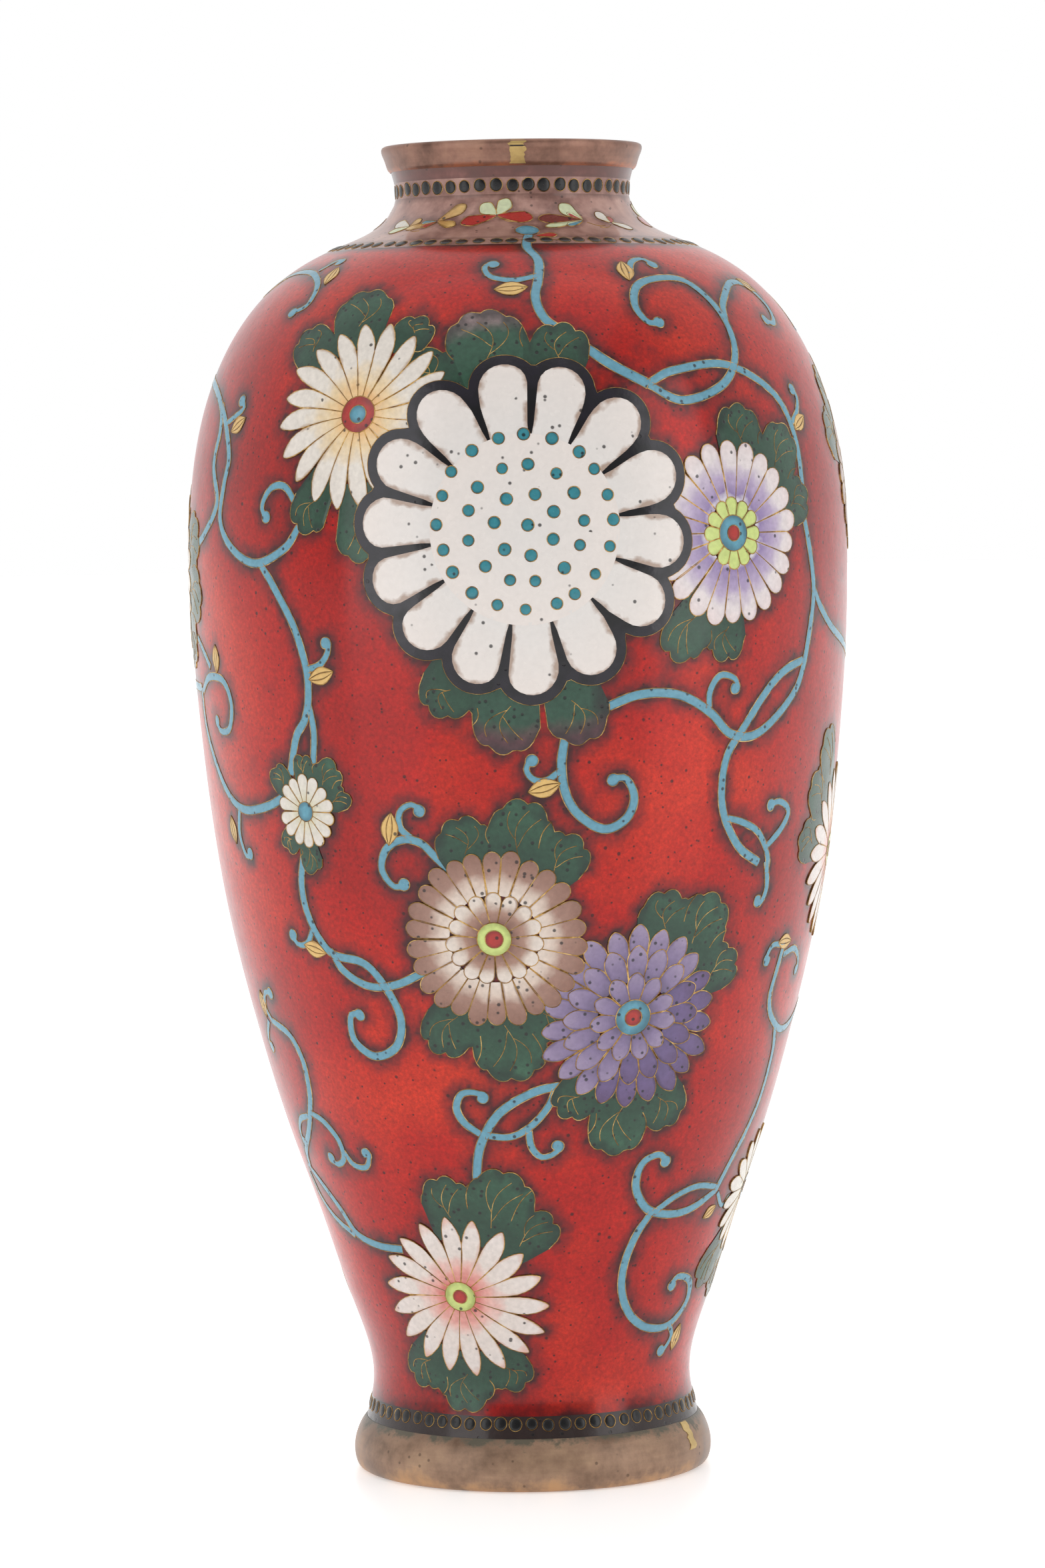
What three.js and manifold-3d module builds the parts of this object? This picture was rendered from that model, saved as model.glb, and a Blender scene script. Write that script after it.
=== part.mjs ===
// Cloisonne vase: coloured enamel in shallow pockets on a spun copper core.
// Millimetres, +Z up. The origin is the middle of the face that the foot rests on.
// Places on the outer surface are given by azimuth, in degrees from the front (-Y) towards +X,
// and by height. Sizes on the surface are measured along it.

import * as THREE from 'three';
import { mergeVertices } from 'three/addons/utils/BufferGeometryUtils.js';
import Module from 'manifold-3d';

const wasm = await Module();
wasm.setup();

// ---------------------------------------------------------------- driving dimensions

const HEIGHT = 184;
const FOOT_TOP = 7.2;
const RIM_BOTTOM = 180.5;
const FOOT_RADIUS = 25;
const RIM_RADIUS = 18.1;

const ENAMEL = 1.2;        // enamel over the copper, base coat included
const INLAY = 0.6;         // depth of a coloured cell
const POCKET = 0.85;       // depth of the pocket that holds it
const COPPER = 0.8;
const LINING = 0.5;
const SKIN_GAP = 0.1;      // between coats that lie on each other
const FIT = 0.3;           // between neighbouring pieces: the wire and its joint
const VINE_WIDTH = 1.3;

const SEGMENTS = 24;       // facets round the body
const LINING_SEGMENTS = 12;

// Middle heights and widths of the three rows of beads.
const BEAD_ROWS = {
  foot_bead_row: { z: 9.1, width: 2.2 },
  shoulder_bead_row: { z: 170, width: 2.3 },
  neck_bead_row: { z: 177.8, width: 2.3 },
};

// Outline of the enamel from the foot to the rim: radius, height.
const BODY_OUTLINE = [
  [23.2, 7.2], [22.2, 12.2], [25.05, 24], [29, 36], [33.2, 48], [37.3, 62], [41.1, 78], [44.3, 101],
  [45.75, 127], [43.8, 146], [39, 158], [34.3, 164], [29, 168], [23.5, 170.6], [18.6, 173.1],
  [16.3, 176.4], [17, 181.2],
];

// Heights between the rows of beads where the facets of the outline meet.
const BENDS = [13, 22, 40, 62, 90, 127, 146, 158, 165];
const NECK_BENDS = [171.8, 173, 174.6];

// ---------------------------------------------------------------- colours

function enamel(color) {
  return new THREE.MeshStandardMaterial({ color, roughness: 0.22, metalness: 0 });
}

function metal(color) {
  return new THREE.MeshStandardMaterial({ color, roughness: 0.4, metalness: 1 });
}

const COPPER_COLOR = 0x9a6a4c;
const RED = 0xb8382c;
const BROWN = 0xa5857a;
const BLACK = 0x1c1a20;
const WHITE = 0xe6e0db;
const LILAC = 0xb7a9bd;
const PURPLE = 0x8c7b9c;
const TAN = 0x9c7f70;
const GREEN = 0x2f5546;
const BLUE = 0x5d97ab;
const COUNTER = 0x6f8a8c;

// ---------------------------------------------------------------- the outer surface

const outline = new THREE.SplineCurve(BODY_OUTLINE.map(([r, z]) => new THREE.Vector2(r, z)));
const OUTLINE_STEPS = 480;
const path = outline.getPoints(OUTLINE_STEPS);
const arcs = [0];
for (let i = 1; i < path.length; i += 1) {
  arcs.push(arcs[i - 1] + path[i].distanceTo(path[i - 1]));
}

function lookUp(table, value) {
  let i = 1;
  while (i < table.length - 1 && table[i] < value) i += 1;
  return { i, t: (value - table[i - 1]) / (table[i] - table[i - 1]) };
}

// Length along the outline from the foot up to a height.
const heights = path.map((p) => p.y);
function arcAt(z) {
  const { i, t } = lookUp(heights, z);
  return arcs[i - 1] + t * (arcs[i] - arcs[i - 1]);
}

// Radius and height of the point at a length along the outline, lifted along the surface's normal.
function lifted(arc, lift) {
  const { i, t } = lookUp(arcs, arc);
  const point = path[i - 1].clone().lerp(path[i], t);
  const before = path[Math.max(0, i - 4)];
  const after = path[Math.min(path.length - 1, i + 3)];
  const along = after.clone().sub(before).normalize();
  return new THREE.Vector2(point.x + along.y * lift, point.y - along.x * lift);
}

// Lower and upper heights of a row of beads.
function edges({ z, width }) {
  const arc = arcAt(z);
  return [arc - width / 2, arc + width / 2].map((end) => lifted(end, 0).y);
}

const [footLow, footHigh] = edges(BEAD_ROWS.foot_bead_row);
const [shoulderLow, shoulderHigh] = edges(BEAD_ROWS.shoulder_bead_row);
const [neckLow, neckHigh] = edges(BEAD_ROWS.neck_bead_row);

// Heights of the rings of vertices, the same in every coat so that the coats lie parallel.
const STATIONS = [FOOT_TOP, footLow, footHigh, ...BENDS, shoulderLow, shoulderHigh, ...NECK_BENDS,
  neckLow, neckHigh, RIM_BOTTOM];

const DEGREE = Math.PI / 180;

function placed(azimuth, arc, lift) {
  const p = lifted(arc, lift);
  return [p.x * Math.sin(azimuth), -p.x * Math.cos(azimuth), p.y];
}

// ---------------------------------------------------------------- solids

function toManifold(geometry) {
  const bare = geometry.clone();
  bare.deleteAttribute('normal');
  bare.deleteAttribute('uv');
  const merged = mergeVertices(bare, 1e-5);
  const mesh = new wasm.Mesh({
    numProp: 3,
    vertProperties: Float32Array.from(merged.attributes.position.array),
    triVerts: Uint32Array.from(merged.index.array),
  });
  return new wasm.Manifold(mesh);
}

function toGeometry(solid) {
  const mesh = solid.getMesh();
  const geometry = new THREE.BufferGeometry();
  geometry.setAttribute('position', new THREE.BufferAttribute(mesh.vertProperties, 3));
  geometry.setIndex(new THREE.BufferAttribute(mesh.triVerts, 1));
  geometry.computeVertexNormals();
  return geometry;
}

// A ring turned about Z from a closed section of [radius, height] points, anticlockwise.
function turned(section, segments = SEGMENTS) {
  const points = section.map(([r, z]) => new THREE.Vector2(r, z));
  points.push(points[0].clone());
  return new THREE.LatheGeometry(points, segments).rotateX(Math.PI / 2);
}

// A coat between two lifts from the outer surface, from one height to another.
function coat(zLow, zHigh, outer, inner, segments = SEGMENTS) {
  const between = STATIONS.filter((z) => z > zLow + 0.1 && z < zHigh - 0.1);
  const rows = [zLow, ...between, zHigh].map(arcAt);
  const outside = rows.map((arc) => lifted(arc, outer));
  const inside = rows.map((arc) => lifted(arc, inner)).reverse();
  return turned([...outside, ...inside].map((p) => [p.x, p.y]), segments);
}

// A solid that passes through the surface along its normals. Its outline is a list of
// [azimuth, arc] corners, and rise is how far it stands outside.
const ROOT = 5;
function cutter(corners, rise) {
  const flat = corners.map(([azimuth, arc]) => new THREE.Vector2(azimuth * FOOT_RADIUS, arc));
  const ring = THREE.ShapeUtils.isClockWise(flat) ? [...corners].reverse() : corners;
  if (ring !== corners) flat.reverse();
  const faces = THREE.ShapeUtils.triangulateShape(flat, []);
  const n = ring.length;
  const positions = [];
  ring.forEach(([azimuth, arc]) => positions.push(...placed(azimuth, arc, rise)));
  ring.forEach(([azimuth, arc]) => positions.push(...placed(azimuth, arc, -ROOT)));
  const index = [];
  faces.forEach(([a, b, c]) => index.push(a, b, c, n + c, n + b, n + a));
  for (let i = 0; i < n; i += 1) {
    const j = (i + 1) % n;
    index.push(i, n + i, n + j, i, n + j, j);
  }
  const geometry = new THREE.BufferGeometry();
  geometry.setAttribute('position', new THREE.Float32BufferAttribute(positions, 3));
  geometry.setIndex(index);
  return toManifold(geometry);
}

function union(solids) {
  return solids.reduce((all, solid) => all.add(solid));
}

// ---------------------------------------------------------------- flowers and leaves

// A flower: where its middle is, its outer radius, how many petals, how deep the notches between
// them are, and how many corners round off each tip (1 is pointed).
const FLOWERS = {
  great_daisy: { at: [1.2, 131.5], radius: 23.3, petals: 14, notch: 0.82, tip: 2, color: BLACK },
  cream_mum: { at: [-28.5, 146.9], radius: 13, petals: 20, notch: 0.75, tip: 1, color: WHITE },
  lilac_mum: { at: [38.6, 130.4], radius: 12.4, petals: 22, tip: 1, color: LILAC },
  small_daisy: { at: [-41.6, 94.1], radius: 5, petals: 14, notch: 0.82, tip: 1, color: WHITE },
  brown_mum: { at: [-5.6, 77.3], radius: 12.1, petals: 26, tip: 1, color: TAN },
  purple_mum: { at: [21.8, 66.1], radius: 12.7, petals: 22, tip: 1, color: PURPLE },
  pink_mum: { at: [-21.3, 27.2], radius: 11.9, petals: 18, notch: 0.7, tip: 1, color: WHITE },
  right_mum: { at: [83.5, 86], radius: 12, petals: 20, tip: 1, color: WHITE },
  low_right_mum: { at: [83, 39], radius: 9.5, petals: 18, tip: 1, color: WHITE },
  back_great_mum: { at: [176, 122], radius: 19, petals: 16, notch: 0.82, tip: 2, color: PURPLE },
  left_mum: { at: [-96, 126], radius: 12.5, petals: 22, tip: 1, color: LILAC },
  back_brown_mum: { at: [-158, 74], radius: 12, petals: 24, tip: 1, color: TAN },
  back_cream_mum: { at: [146, 60], radius: 11.5, petals: 20, tip: 1, color: WHITE },
};

// Lobes of each leaf cluster, across and up from the middle of its flower, with their radii.
const LEAVES = {
  great_daisy: {
    top: [[-4.5, 24.8, 5.6], [5, 24, 4.2], [-12.5, 20.5, 4.2]],
    bottom: [[-10.5, -20.8, 4], [-2.8, -24.8, 4.7], [6.5, -24, 4.4]],
  },
  cream_mum: {
    top: [[-9.3, 9.5, 3.7], [-2.5, 14.4, 4.5], [5.6, 11, 3.2]],
    bottom: [[-7, -12.6, 3.3], [1, -16, 3.6]],
  },
  lilac_mum: {
    top: [[2.8, 13, 4.3], [10.5, 10.7, 4.1], [13.2, 4, 3.4]],
    bottom: [[-8, -13.4, 3.5], [-1.2, -13.6, 3.4]],
  },
  small_daisy: {
    top: [[0.2, 6, 1.8], [4.2, 4.8, 2.5], [6, 1.8, 1.8], [-4.4, 4.2, 2.1]],
    bottom: [[-3.4, -3.9, 1.9], [0, -6.5, 2]],
  },
  brown_mum: {
    top: [[-3.5, 12.6, 4], [4, 14.6, 4.2], [9.4, 10.8, 3.6]],
    bottom: [[-6.6, -12.6, 4], [1.5, -15, 5.1], [7, -11.5, 3.1]],
  },
  purple_mum: {
    top: [[3.8, 13.2, 4.2], [10, 12.6, 4.2], [13.3, 6.2, 3.4]],
    bottom: [[-6.8, -11, 3.4], [-0.6, -15.4, 4.4], [5.6, -12.6, 4]],
  },
  pink_mum: {
    top: [[0, 14.2, 3.8], [7.6, 14.6, 4.6], [11.6, 10, 3.3]],
    bottom: [[-7, -10.8, 3.6], [-1, -13, 4.2], [5.4, -11, 3.2]],
  },
  right_mum: { top: [[-11.5, 8.5, 3.7], [-8.5, 14, 3.7], [-13.5, 2, 3.2]] },
  back_great_mum: {
    top: [[-8, 19.5, 4.4], [0.5, 22, 5], [9, 19, 4.2]],
    bottom: [[-5.5, -20, 4.4], [3, -21.5, 4.6]],
  },
  left_mum: { side: [[14.5, 4, 4.2], [15.2, -3.2, 4.2], [11.5, -9.5, 3.8]] },
  low_right_mum: { bottom: [[-7.5, -10.5, 3.4], [-1.5, -12.4, 3.6]] },
  back_brown_mum: { bottom: [[-6, -13, 4], [2, -15, 4.6]] },
};

// Corner of an outline drawn round a flower's middle: an angle and a distance on the surface.
function around(flower, angle, distance) {
  const arc = arcAt(flower.at[1]) + distance * Math.sin(angle);
  const radius = lifted(arc, 0).x;
  return [flower.at[0] * DEGREE + (distance * Math.cos(angle)) / radius, arc];
}

function riseOver(size) {
  return 1.5 + 0.55 * size;
}

// The plain round outline that the ground leaves for a flower.
function flowerPocket(flower) {
  const corners = [];
  const sides = 14;
  const reach = (flower.radius + FIT) / Math.cos(Math.PI / sides);
  for (let i = 0; i < sides; i += 1) {
    corners.push(around(flower, Math.PI / 2 + (2 * Math.PI * i) / sides, reach));
  }
  return cutter(corners, riseOver(flower.radius));
}

function flowerCutter(flower, grow = 0) {
  const corners = [];
  for (let i = 0; i < flower.petals; i += 1) {
    const step = (2 * Math.PI) / flower.petals;
    const middle = Math.PI / 2 + step * i;
    for (let k = 0; k < flower.tip; k += 1) {
      const aside = flower.tip === 1 ? 0 : (k / (flower.tip - 1) - 0.5) * 0.6;
      const bulge = 1 - Math.abs(aside) * 0.16;
      corners.push(around(flower, middle + aside * step, flower.radius * bulge + grow));
    }
    if (flower.notch) {
      corners.push(around(flower, middle + step / 2, flower.radius * flower.notch + grow));
    }
  }
  return cutter(corners, riseOver(flower.radius));
}

// How far a lobe reaches along a ray from the flower's middle, or 0 where the ray misses it.
function lobeReach([x, y, radius], angle) {
  const along = x * Math.cos(angle) + y * Math.sin(angle);
  const aside = x * Math.sin(angle) - y * Math.cos(angle);
  const span = radius ** 2 - aside ** 2;
  return span > 0 && along > 0 ? along + Math.sqrt(span) : 0;
}

const LEAF_STEP = 12 * DEGREE;
const LEAF_NECK = 1.6;     // least width of leaf outside the petals, between two lobes

// A cluster of lobes seen from the flower's middle; its inner edge is under the flower.
function leafCutter(flower, lobes, grow = 0) {
  const middle = Math.atan2(lobes.reduce((t, l) => t + l[1], 0), lobes.reduce((t, l) => t + l[0], 0));
  const sides = lobes.map(([x, y, radius]) => {
    const turn = Math.atan2(y, x) - middle;
    const half = Math.asin(radius / Math.hypot(x, y));
    const offset = Math.atan2(Math.sin(turn), Math.cos(turn));
    return [offset - half, offset + half];
  });
  const inner = flower.radius * 0.6;
  const first = middle + Math.min(...sides.map((side) => side[0]));
  const span = middle + Math.max(...sides.map((side) => side[1])) - first;
  const count = Math.max(6, Math.round(span / LEAF_STEP));
  const corners = [];
  for (let i = 0; i <= count; i += 1) {
    const end = i === 0 ? -1 : Number(i === count);
    const angle = first + (span * i) / count;
    const reach = Math.max(...lobes.map((lobe) => lobeReach(lobe, angle)));
    const least = end ? flower.radius * 0.9 : flower.radius + LEAF_NECK;
    corners.push(around(flower, angle + (end * grow) / inner, Math.max(reach, least) + grow));
  }
  const back = Math.max(2, Math.round(count / 4));
  for (let i = back; i >= 0; i -= 1) {
    const end = i === 0 ? -1 : Number(i === back);
    corners.push(around(flower, first + (span * i) / back + (end * grow) / inner, inner - grow));
  }
  const size = Math.max(...lobes.map(([x, y, radius]) => Math.hypot(x, y) + radius));
  return cutter(corners, riseOver(size));
}

// ---------------------------------------------------------------- vines

// The main stem of each vine, one piece of blue enamel through points of [azimuth, height].
const VINES = {
  vine_upper_right: [[11, 156.6], [24.4, 150.3], [38, 149], [47, 155.4], [45.6, 162.6], [36, 164.5],
    [27, 163], [26.4, 159.4]],
  vine_right: [[57.5, 134], [60.5, 121], [56.5, 110.5], [48, 104.2], [37, 104.6], [27, 109.2],
    [14, 107.8]],
  vine_middle: [[9, 107], [7.2, 100], [8.4, 95], [14.2, 91.6], [19.4, 94.6], [17, 98.4]],
  vine_left: [[-39, 132.4], [-50.2, 127.3], [-60, 132], [-67, 142], [-68, 148.6], [-80, 151.4]],
  vine_left_stem: [[-46.6, 125], [-41, 118.5], [-38.8, 112.5], [-39.6, 107.5], [-44.6, 99]],
  vine_far_left: [[-64, 111.4], [-75, 108], [-71, 99], [-60, 94], [-47, 96]],
  vine_lower_left: [[-44, 87.5], [-44.6, 79.6], [-38.6, 73.6], [-28, 70.4], [-18, 73.4]],
  vine_centre_left: [[-12, 85.6], [-18, 90], [-24.6, 89.4], [-25.6, 85.4], [-21, 84.8]],
  vine_lower_middle: [[8.5, 57], [-3, 54.8], [-10.4, 49.8], [-12.8, 42.5]],
  vine_low_left: [[-66.6, 64.4], [-57.6, 61.4], [-59.6, 51.6], [-72.4, 42.6], [-55, 35], [-37, 33.8]],
  vine_low_right: [[60.8, 73], [60, 67], [68.4, 59], [66, 49], [58, 40.4], [44, 37.8], [33, 37.4],
    [27.8, 30], [34, 22.8], [50, 21.4]],
  vine_back_right: [[108, 141], [118, 147], [133, 149], [144, 140], [141, 128], [133, 131]],
  vine_back_left: [[-149, 84], [-138, 94], [-133, 104], [-137, 112], [-144, 110]],
};

const VINE_STEP = 7;

// Outline of a stem: both sides of the smooth line through its points.
function stemCutter(points, width) {
  const curve = new THREE.SplineCurve(points.map(([a, z]) => new THREE.Vector2(a * DEGREE, arcAt(z))));
  const radius = lifted(arcAt(points[0][1]), 0).x;
  const rough = curve.getPoints(points.length * 4);
  const length = rough.reduce((sum, p, i) => {
    if (i === 0) return 0;
    return sum + Math.hypot((p.x - rough[i - 1].x) * radius, p.y - rough[i - 1].y);
  }, 0);
  const steps = Math.max(points.length, Math.round(length / VINE_STEP));
  const left = [];
  const right = [];
  for (let i = 0; i <= steps; i += 1) {
    const t = i / steps;
    const here = curve.getPoint(t);
    const ahead = curve.getPoint(Math.min(1, t + 0.01));
    const behind = curve.getPoint(Math.max(0, t - 0.01));
    const local = lifted(here.y, 0).x;
    const dx = (ahead.x - behind.x) * local;
    const dy = ahead.y - behind.y;
    const scale = width / 2 / Math.hypot(dx, dy);
    left.push([here.x - (dy * scale) / local, here.y + dx * scale]);
    right.push([here.x + (dy * scale) / local, here.y - dx * scale]);
  }
  return cutter([...left, ...right.reverse()], 2.5);
}

// ---------------------------------------------------------------- assembly

const vase = new THREE.Group();

function addPiece(name, geometry, material) {
  const mesh = new THREE.Mesh(geometry, material);
  mesh.name = name;
  vase.add(mesh);
}

// Metal.
const BASE_Z = 4;
const coreOuter = -ENAMEL - SKIN_GAP;
const coreInner = coreOuter - COPPER;
const coreFoot = lifted(0, coreOuter).x;
const coreLip = lifted(arcAt(RIM_BOTTOM), coreOuter).x;

function copperCore() {
  const wall = STATIONS.map(arcAt);
  const outside = wall.map((arc) => lifted(arc, coreOuter));
  const inside = wall.map((arc) => lifted(arc, coreInner)).reverse();
  const section = [[coreFoot - COPPER, 1.5], [coreFoot, 1.5]];
  outside.forEach((p) => section.push([p.x, p.y]));
  section.push([coreLip + 0.6, HEIGHT - 1], [coreLip + 0.6 - COPPER, HEIGHT - 1]);
  inside.forEach((p) => section.push([p.x, p.y]));
  return turned(section);
}

function footRing() {
  const bore = coreFoot + FIT;
  return turned([[bore, 0], [24.3, 0], [FOOT_RADIUS, 1.8], [24.85, 4], [24.2, 6], [23.3, FOOT_TOP],
    [bore, FOOT_TOP - 0.6]]);
}

function rimBand() {
  return turned([[coreLip + FIT, RIM_BOTTOM + 0.3], [17.1, RIM_BOTTOM + 0.1], [RIM_RADIUS, HEIGHT - 0.5],
    [RIM_RADIUS - 0.3, HEIGHT], [coreLip - COPPER - 0.4, HEIGHT], [coreLip - COPPER - 0.4, HEIGHT - 0.7],
    [coreLip + 0.9, HEIGHT - 0.7]]);
}

// The solder over the seam of the rim band: a thin curved plate just outside it.
function rimSeam() {
  const shell = toManifold(turned([[17.3, RIM_BOTTOM + 0.25], [17.55, RIM_BOTTOM + 0.25],
    [18.4, HEIGHT - 0.6], [18.15, HEIGHT - 0.6]].map(([r, z]) => [r + 0.12, z])));
  const half = 4.5 * DEGREE;
  const middle = 2.5 * DEGREE;
  const slice = new THREE.Shape([new THREE.Vector2(0, 0),
    new THREE.Vector2(30 * Math.sin(middle - half), -30 * Math.cos(middle - half)),
    new THREE.Vector2(30 * Math.sin(middle + half), -30 * Math.cos(middle + half))]);
  const block = new THREE.ExtrudeGeometry(slice, { depth: HEIGHT + 10, bevelEnabled: false });
  return toGeometry(shell.intersect(toManifold(block)));
}

function disc(radius, zLow, zHigh, segments = SEGMENTS) {
  return new THREE.CylinderGeometry(radius, radius, zHigh - zLow, segments)
    .rotateX(Math.PI / 2).translate(0, 0, (zLow + zHigh) / 2);
}

addPiece('copper_core', copperCore(), metal(COPPER_COLOR));
addPiece('foot_ring', footRing(), metal(COPPER_COLOR));
addPiece('rim_band', rimBand(), metal(COPPER_COLOR));
addPiece('rim_seam', rimSeam(), metal(0xc79a3a));
const plateRadius = coreFoot - COPPER - FIT;
addPiece('base_plate', disc(plateRadius, BASE_Z, BASE_Z + COPPER), metal(COPPER_COLOR));
addPiece('base_enamel', disc(plateRadius - 0.4, BASE_Z - 0.7, BASE_Z - SKIN_GAP), enamel(COUNTER));

// Coats and rows of beads.
Object.entries(BEAD_ROWS).forEach(([name, row]) => {
  const [low, high] = edges(row);
  addPiece(name, coat(low, high, 0, -ENAMEL), enamel(BLACK));
});
addPiece('neck_enamel', coat(shoulderHigh + 0.15, neckLow - FIT, 0, -ENAMEL), enamel(BROWN));
addPiece('lip_enamel', coat(neckHigh + FIT, RIM_BOTTOM - 0.2, 0, -ENAMEL), enamel(BROWN));
const liningOuter = coreInner - 0.75;
addPiece('lining_enamel', coat(FOOT_TOP + 0.5, RIM_BOTTOM - 0.5, liningOuter, liningOuter - LINING,
  LINING_SEGMENTS), enamel(COUNTER));

// Coloured cells, the front-most first: each is cut clear of the ones over it.
const inlayCoat = toManifold(coat(footHigh + FIT, shoulderLow - 0.15, 0, -INLAY));
const pocketCoat = toManifold(coat(footHigh + FIT, shoulderLow - 0.15, 2, -POCKET));
const clearances = [];

function addInlay(name, solid, clearance, material) {
  const cut = clearances.reduce((rest, over) => rest.subtract(over), solid.intersect(inlayCoat));
  clearances.push(clearance);
  const pieces = cut.decompose().sort((a, b) => b.volume() - a.volume());
  addPiece(name, toGeometry(pieces[0]), material);
}

Object.entries(FLOWERS).forEach(([name, flower]) => {
  if (name === 'great_daisy') {
    const petals = { ...flower, radius: flower.radius - 1.5, notch: 0.72 };
    addInlay('great_daisy_petals', flowerCutter(petals), flowerCutter(petals, FIT), enamel(WHITE));
    addInlay('great_daisy_outline', flowerCutter(flower), flowerCutter(flower, FIT), enamel(BLACK));
  } else {
    addInlay(name, flowerCutter(flower), flowerPocket(flower), enamel(flower.color));
  }
});

Object.entries(LEAVES).forEach(([name, clusters]) => {
  Object.entries(clusters).forEach(([side, lobes]) => {
    const flower = FLOWERS[name];
    addInlay(`${name}_leaf_${side}`, leafCutter(flower, lobes), leafCutter(flower, lobes, FIT),
      enamel(GREEN));
  });
});

Object.entries(VINES).forEach(([name, points]) => {
  addInlay(name, stemCutter(points, VINE_WIDTH), stemCutter(points, VINE_WIDTH + 2 * FIT), enamel(BLUE));
});

const ground = toManifold(coat(footHigh + FIT, shoulderLow - 0.15, 0, -ENAMEL))
  .subtract(union(clearances).intersect(pocketCoat));
addPiece('ground_enamel', toGeometry(ground), enamel(RED));

export default vase;
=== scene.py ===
"""Cloisonne vase: enamel cells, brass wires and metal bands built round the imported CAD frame.

A place on the vase is an azimuth, in degrees from the front (-Y) towards +X, and a height in
millimetres. Sizes on the surface are in millimetres measured along it. Meshes are made in metres.
"""
import math

import bmesh
import bpy
import numpy as np
from mathutils import Matrix, Vector, kdtree


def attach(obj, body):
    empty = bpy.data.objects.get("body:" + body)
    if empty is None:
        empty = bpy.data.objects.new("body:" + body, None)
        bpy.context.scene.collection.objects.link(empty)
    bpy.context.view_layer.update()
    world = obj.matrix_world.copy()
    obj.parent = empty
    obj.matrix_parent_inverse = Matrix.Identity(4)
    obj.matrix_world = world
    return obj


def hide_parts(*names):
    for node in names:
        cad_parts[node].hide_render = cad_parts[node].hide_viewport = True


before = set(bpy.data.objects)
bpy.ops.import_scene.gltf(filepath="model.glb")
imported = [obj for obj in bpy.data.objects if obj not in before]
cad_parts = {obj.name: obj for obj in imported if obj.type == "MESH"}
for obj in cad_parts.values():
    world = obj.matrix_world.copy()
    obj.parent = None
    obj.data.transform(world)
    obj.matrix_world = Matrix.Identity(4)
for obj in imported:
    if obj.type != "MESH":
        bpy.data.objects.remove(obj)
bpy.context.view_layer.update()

MM = 0.001
DEG = math.pi / 180
rng = np.random.default_rng(7)

# ------------------------------------------------------------------ the surface of the vase

# Radius and height of points on the enamel's outline, as in the CAD model.
BODY_OUTLINE = [
    (23.2, 7.2), (22.2, 12.2), (25.05, 24), (29, 36), (33.2, 48), (37.3, 62), (41.1, 78), (44.3, 101),
    (45.75, 127), (43.8, 146), (39, 158), (34.3, 164), (29, 168), (23.5, 170.6), (18.6, 173.1),
    (16.3, 176.4), (17, 181.2),
]
FOOT_TOP = 7.2
RIM_BOTTOM = 180.5
FOOT_RADIUS = 25.0
ENAMEL = 1.2            # thickness of the ground, neck and lip enamel
SKIN_GAP = 0.1          # between the enamel and the copper
COPPER = 0.8
LINING_GAP = 0.75       # between the copper and the lining
LINING = 0.5
# Height and width of the rows of beads, the number of beads and the radius of one.
BEAD_ROWS = {
    "foot_bead_row": (9.1, 2.2, 65, 0.86),
    "shoulder_bead_row": (170.0, 2.3, 68, 0.88),
    "neck_bead_row": (177.8, 2.3, 46, 0.88),
}


def spline(knots, values, at):
    """Natural cubic spline through values at knots."""
    n = len(knots)
    h = np.diff(knots)
    matrix = np.eye(n)
    right = np.zeros(n)
    for i in range(1, n - 1):
        matrix[i, i - 1:i + 2] = h[i - 1], 2 * (h[i - 1] + h[i]), h[i]
        right[i] = 6 * ((values[i + 1] - values[i]) / h[i] - (values[i] - values[i - 1]) / h[i - 1])
    bend = np.linalg.solve(matrix, right)
    k = np.clip(np.searchsorted(knots, at) - 1, 0, n - 2)
    a = (knots[k + 1] - at) / h[k]
    b = 1 - a
    curve = (a**3 - a) * bend[k] + (b**3 - b) * bend[k + 1]
    return a * values[k] + b * values[k + 1] + curve * h[k] ** 2 / 6


def lengths(x, y):
    """Length along a path up to each of its points."""
    return np.concatenate([[0], np.cumsum(np.hypot(np.diff(x), np.diff(y)))])


def circle(count):
    """Evenly spaced directions round a full turn."""
    return np.linspace(0, 2 * math.pi, count, endpoint=False)


def around(r, azimuth, z):
    """Points in metres at a radius, an azimuth in radians and a height."""
    return np.stack(np.broadcast_arrays(r * np.sin(azimuth), -r * np.cos(azimuth), z), -1) * MM


# The outline as a fine table: radius, height and direction by the length along it.
_points = np.array(BODY_OUTLINE, float).T
_knots = lengths(*_points)
_fine = np.linspace(0, _knots[-1], 1600)
_r, _z = (spline(_knots, values, _fine) for values in _points)
_arc = lengths(_r, _z)
_dr, _dz = np.gradient(_r, _arc), np.gradient(_z, _arc)


def arc_at(z):
    """Length along the outline from the foot up to a height."""
    return np.interp(z, _z, _arc)


def radius_at(arc):
    return np.interp(arc, _arc, _r)


def on_vase(azimuth, arc, lift=0.0):
    """Points in metres at an azimuth in radians and a length up the outline, lifted off the enamel."""
    dr, dz = np.interp(arc, _arc, _dr), np.interp(arc, _arc, _dz)
    r = np.interp(arc, _arc, _r) + dz * lift
    return around(r, azimuth, np.interp(arc, _arc, _z) - dr * lift)


class Place:
    """The surface round one point of the vase, with x to the right and y up, in millimetres."""

    def __init__(self, azimuth, z):
        self.azimuth, self.arc = azimuth * DEG, float(arc_at(z))

    def __call__(self, x, y):
        arc = self.arc + y
        return self.azimuth + x / radius_at(arc), arc


# ------------------------------------------------------------------ closed meshes

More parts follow.
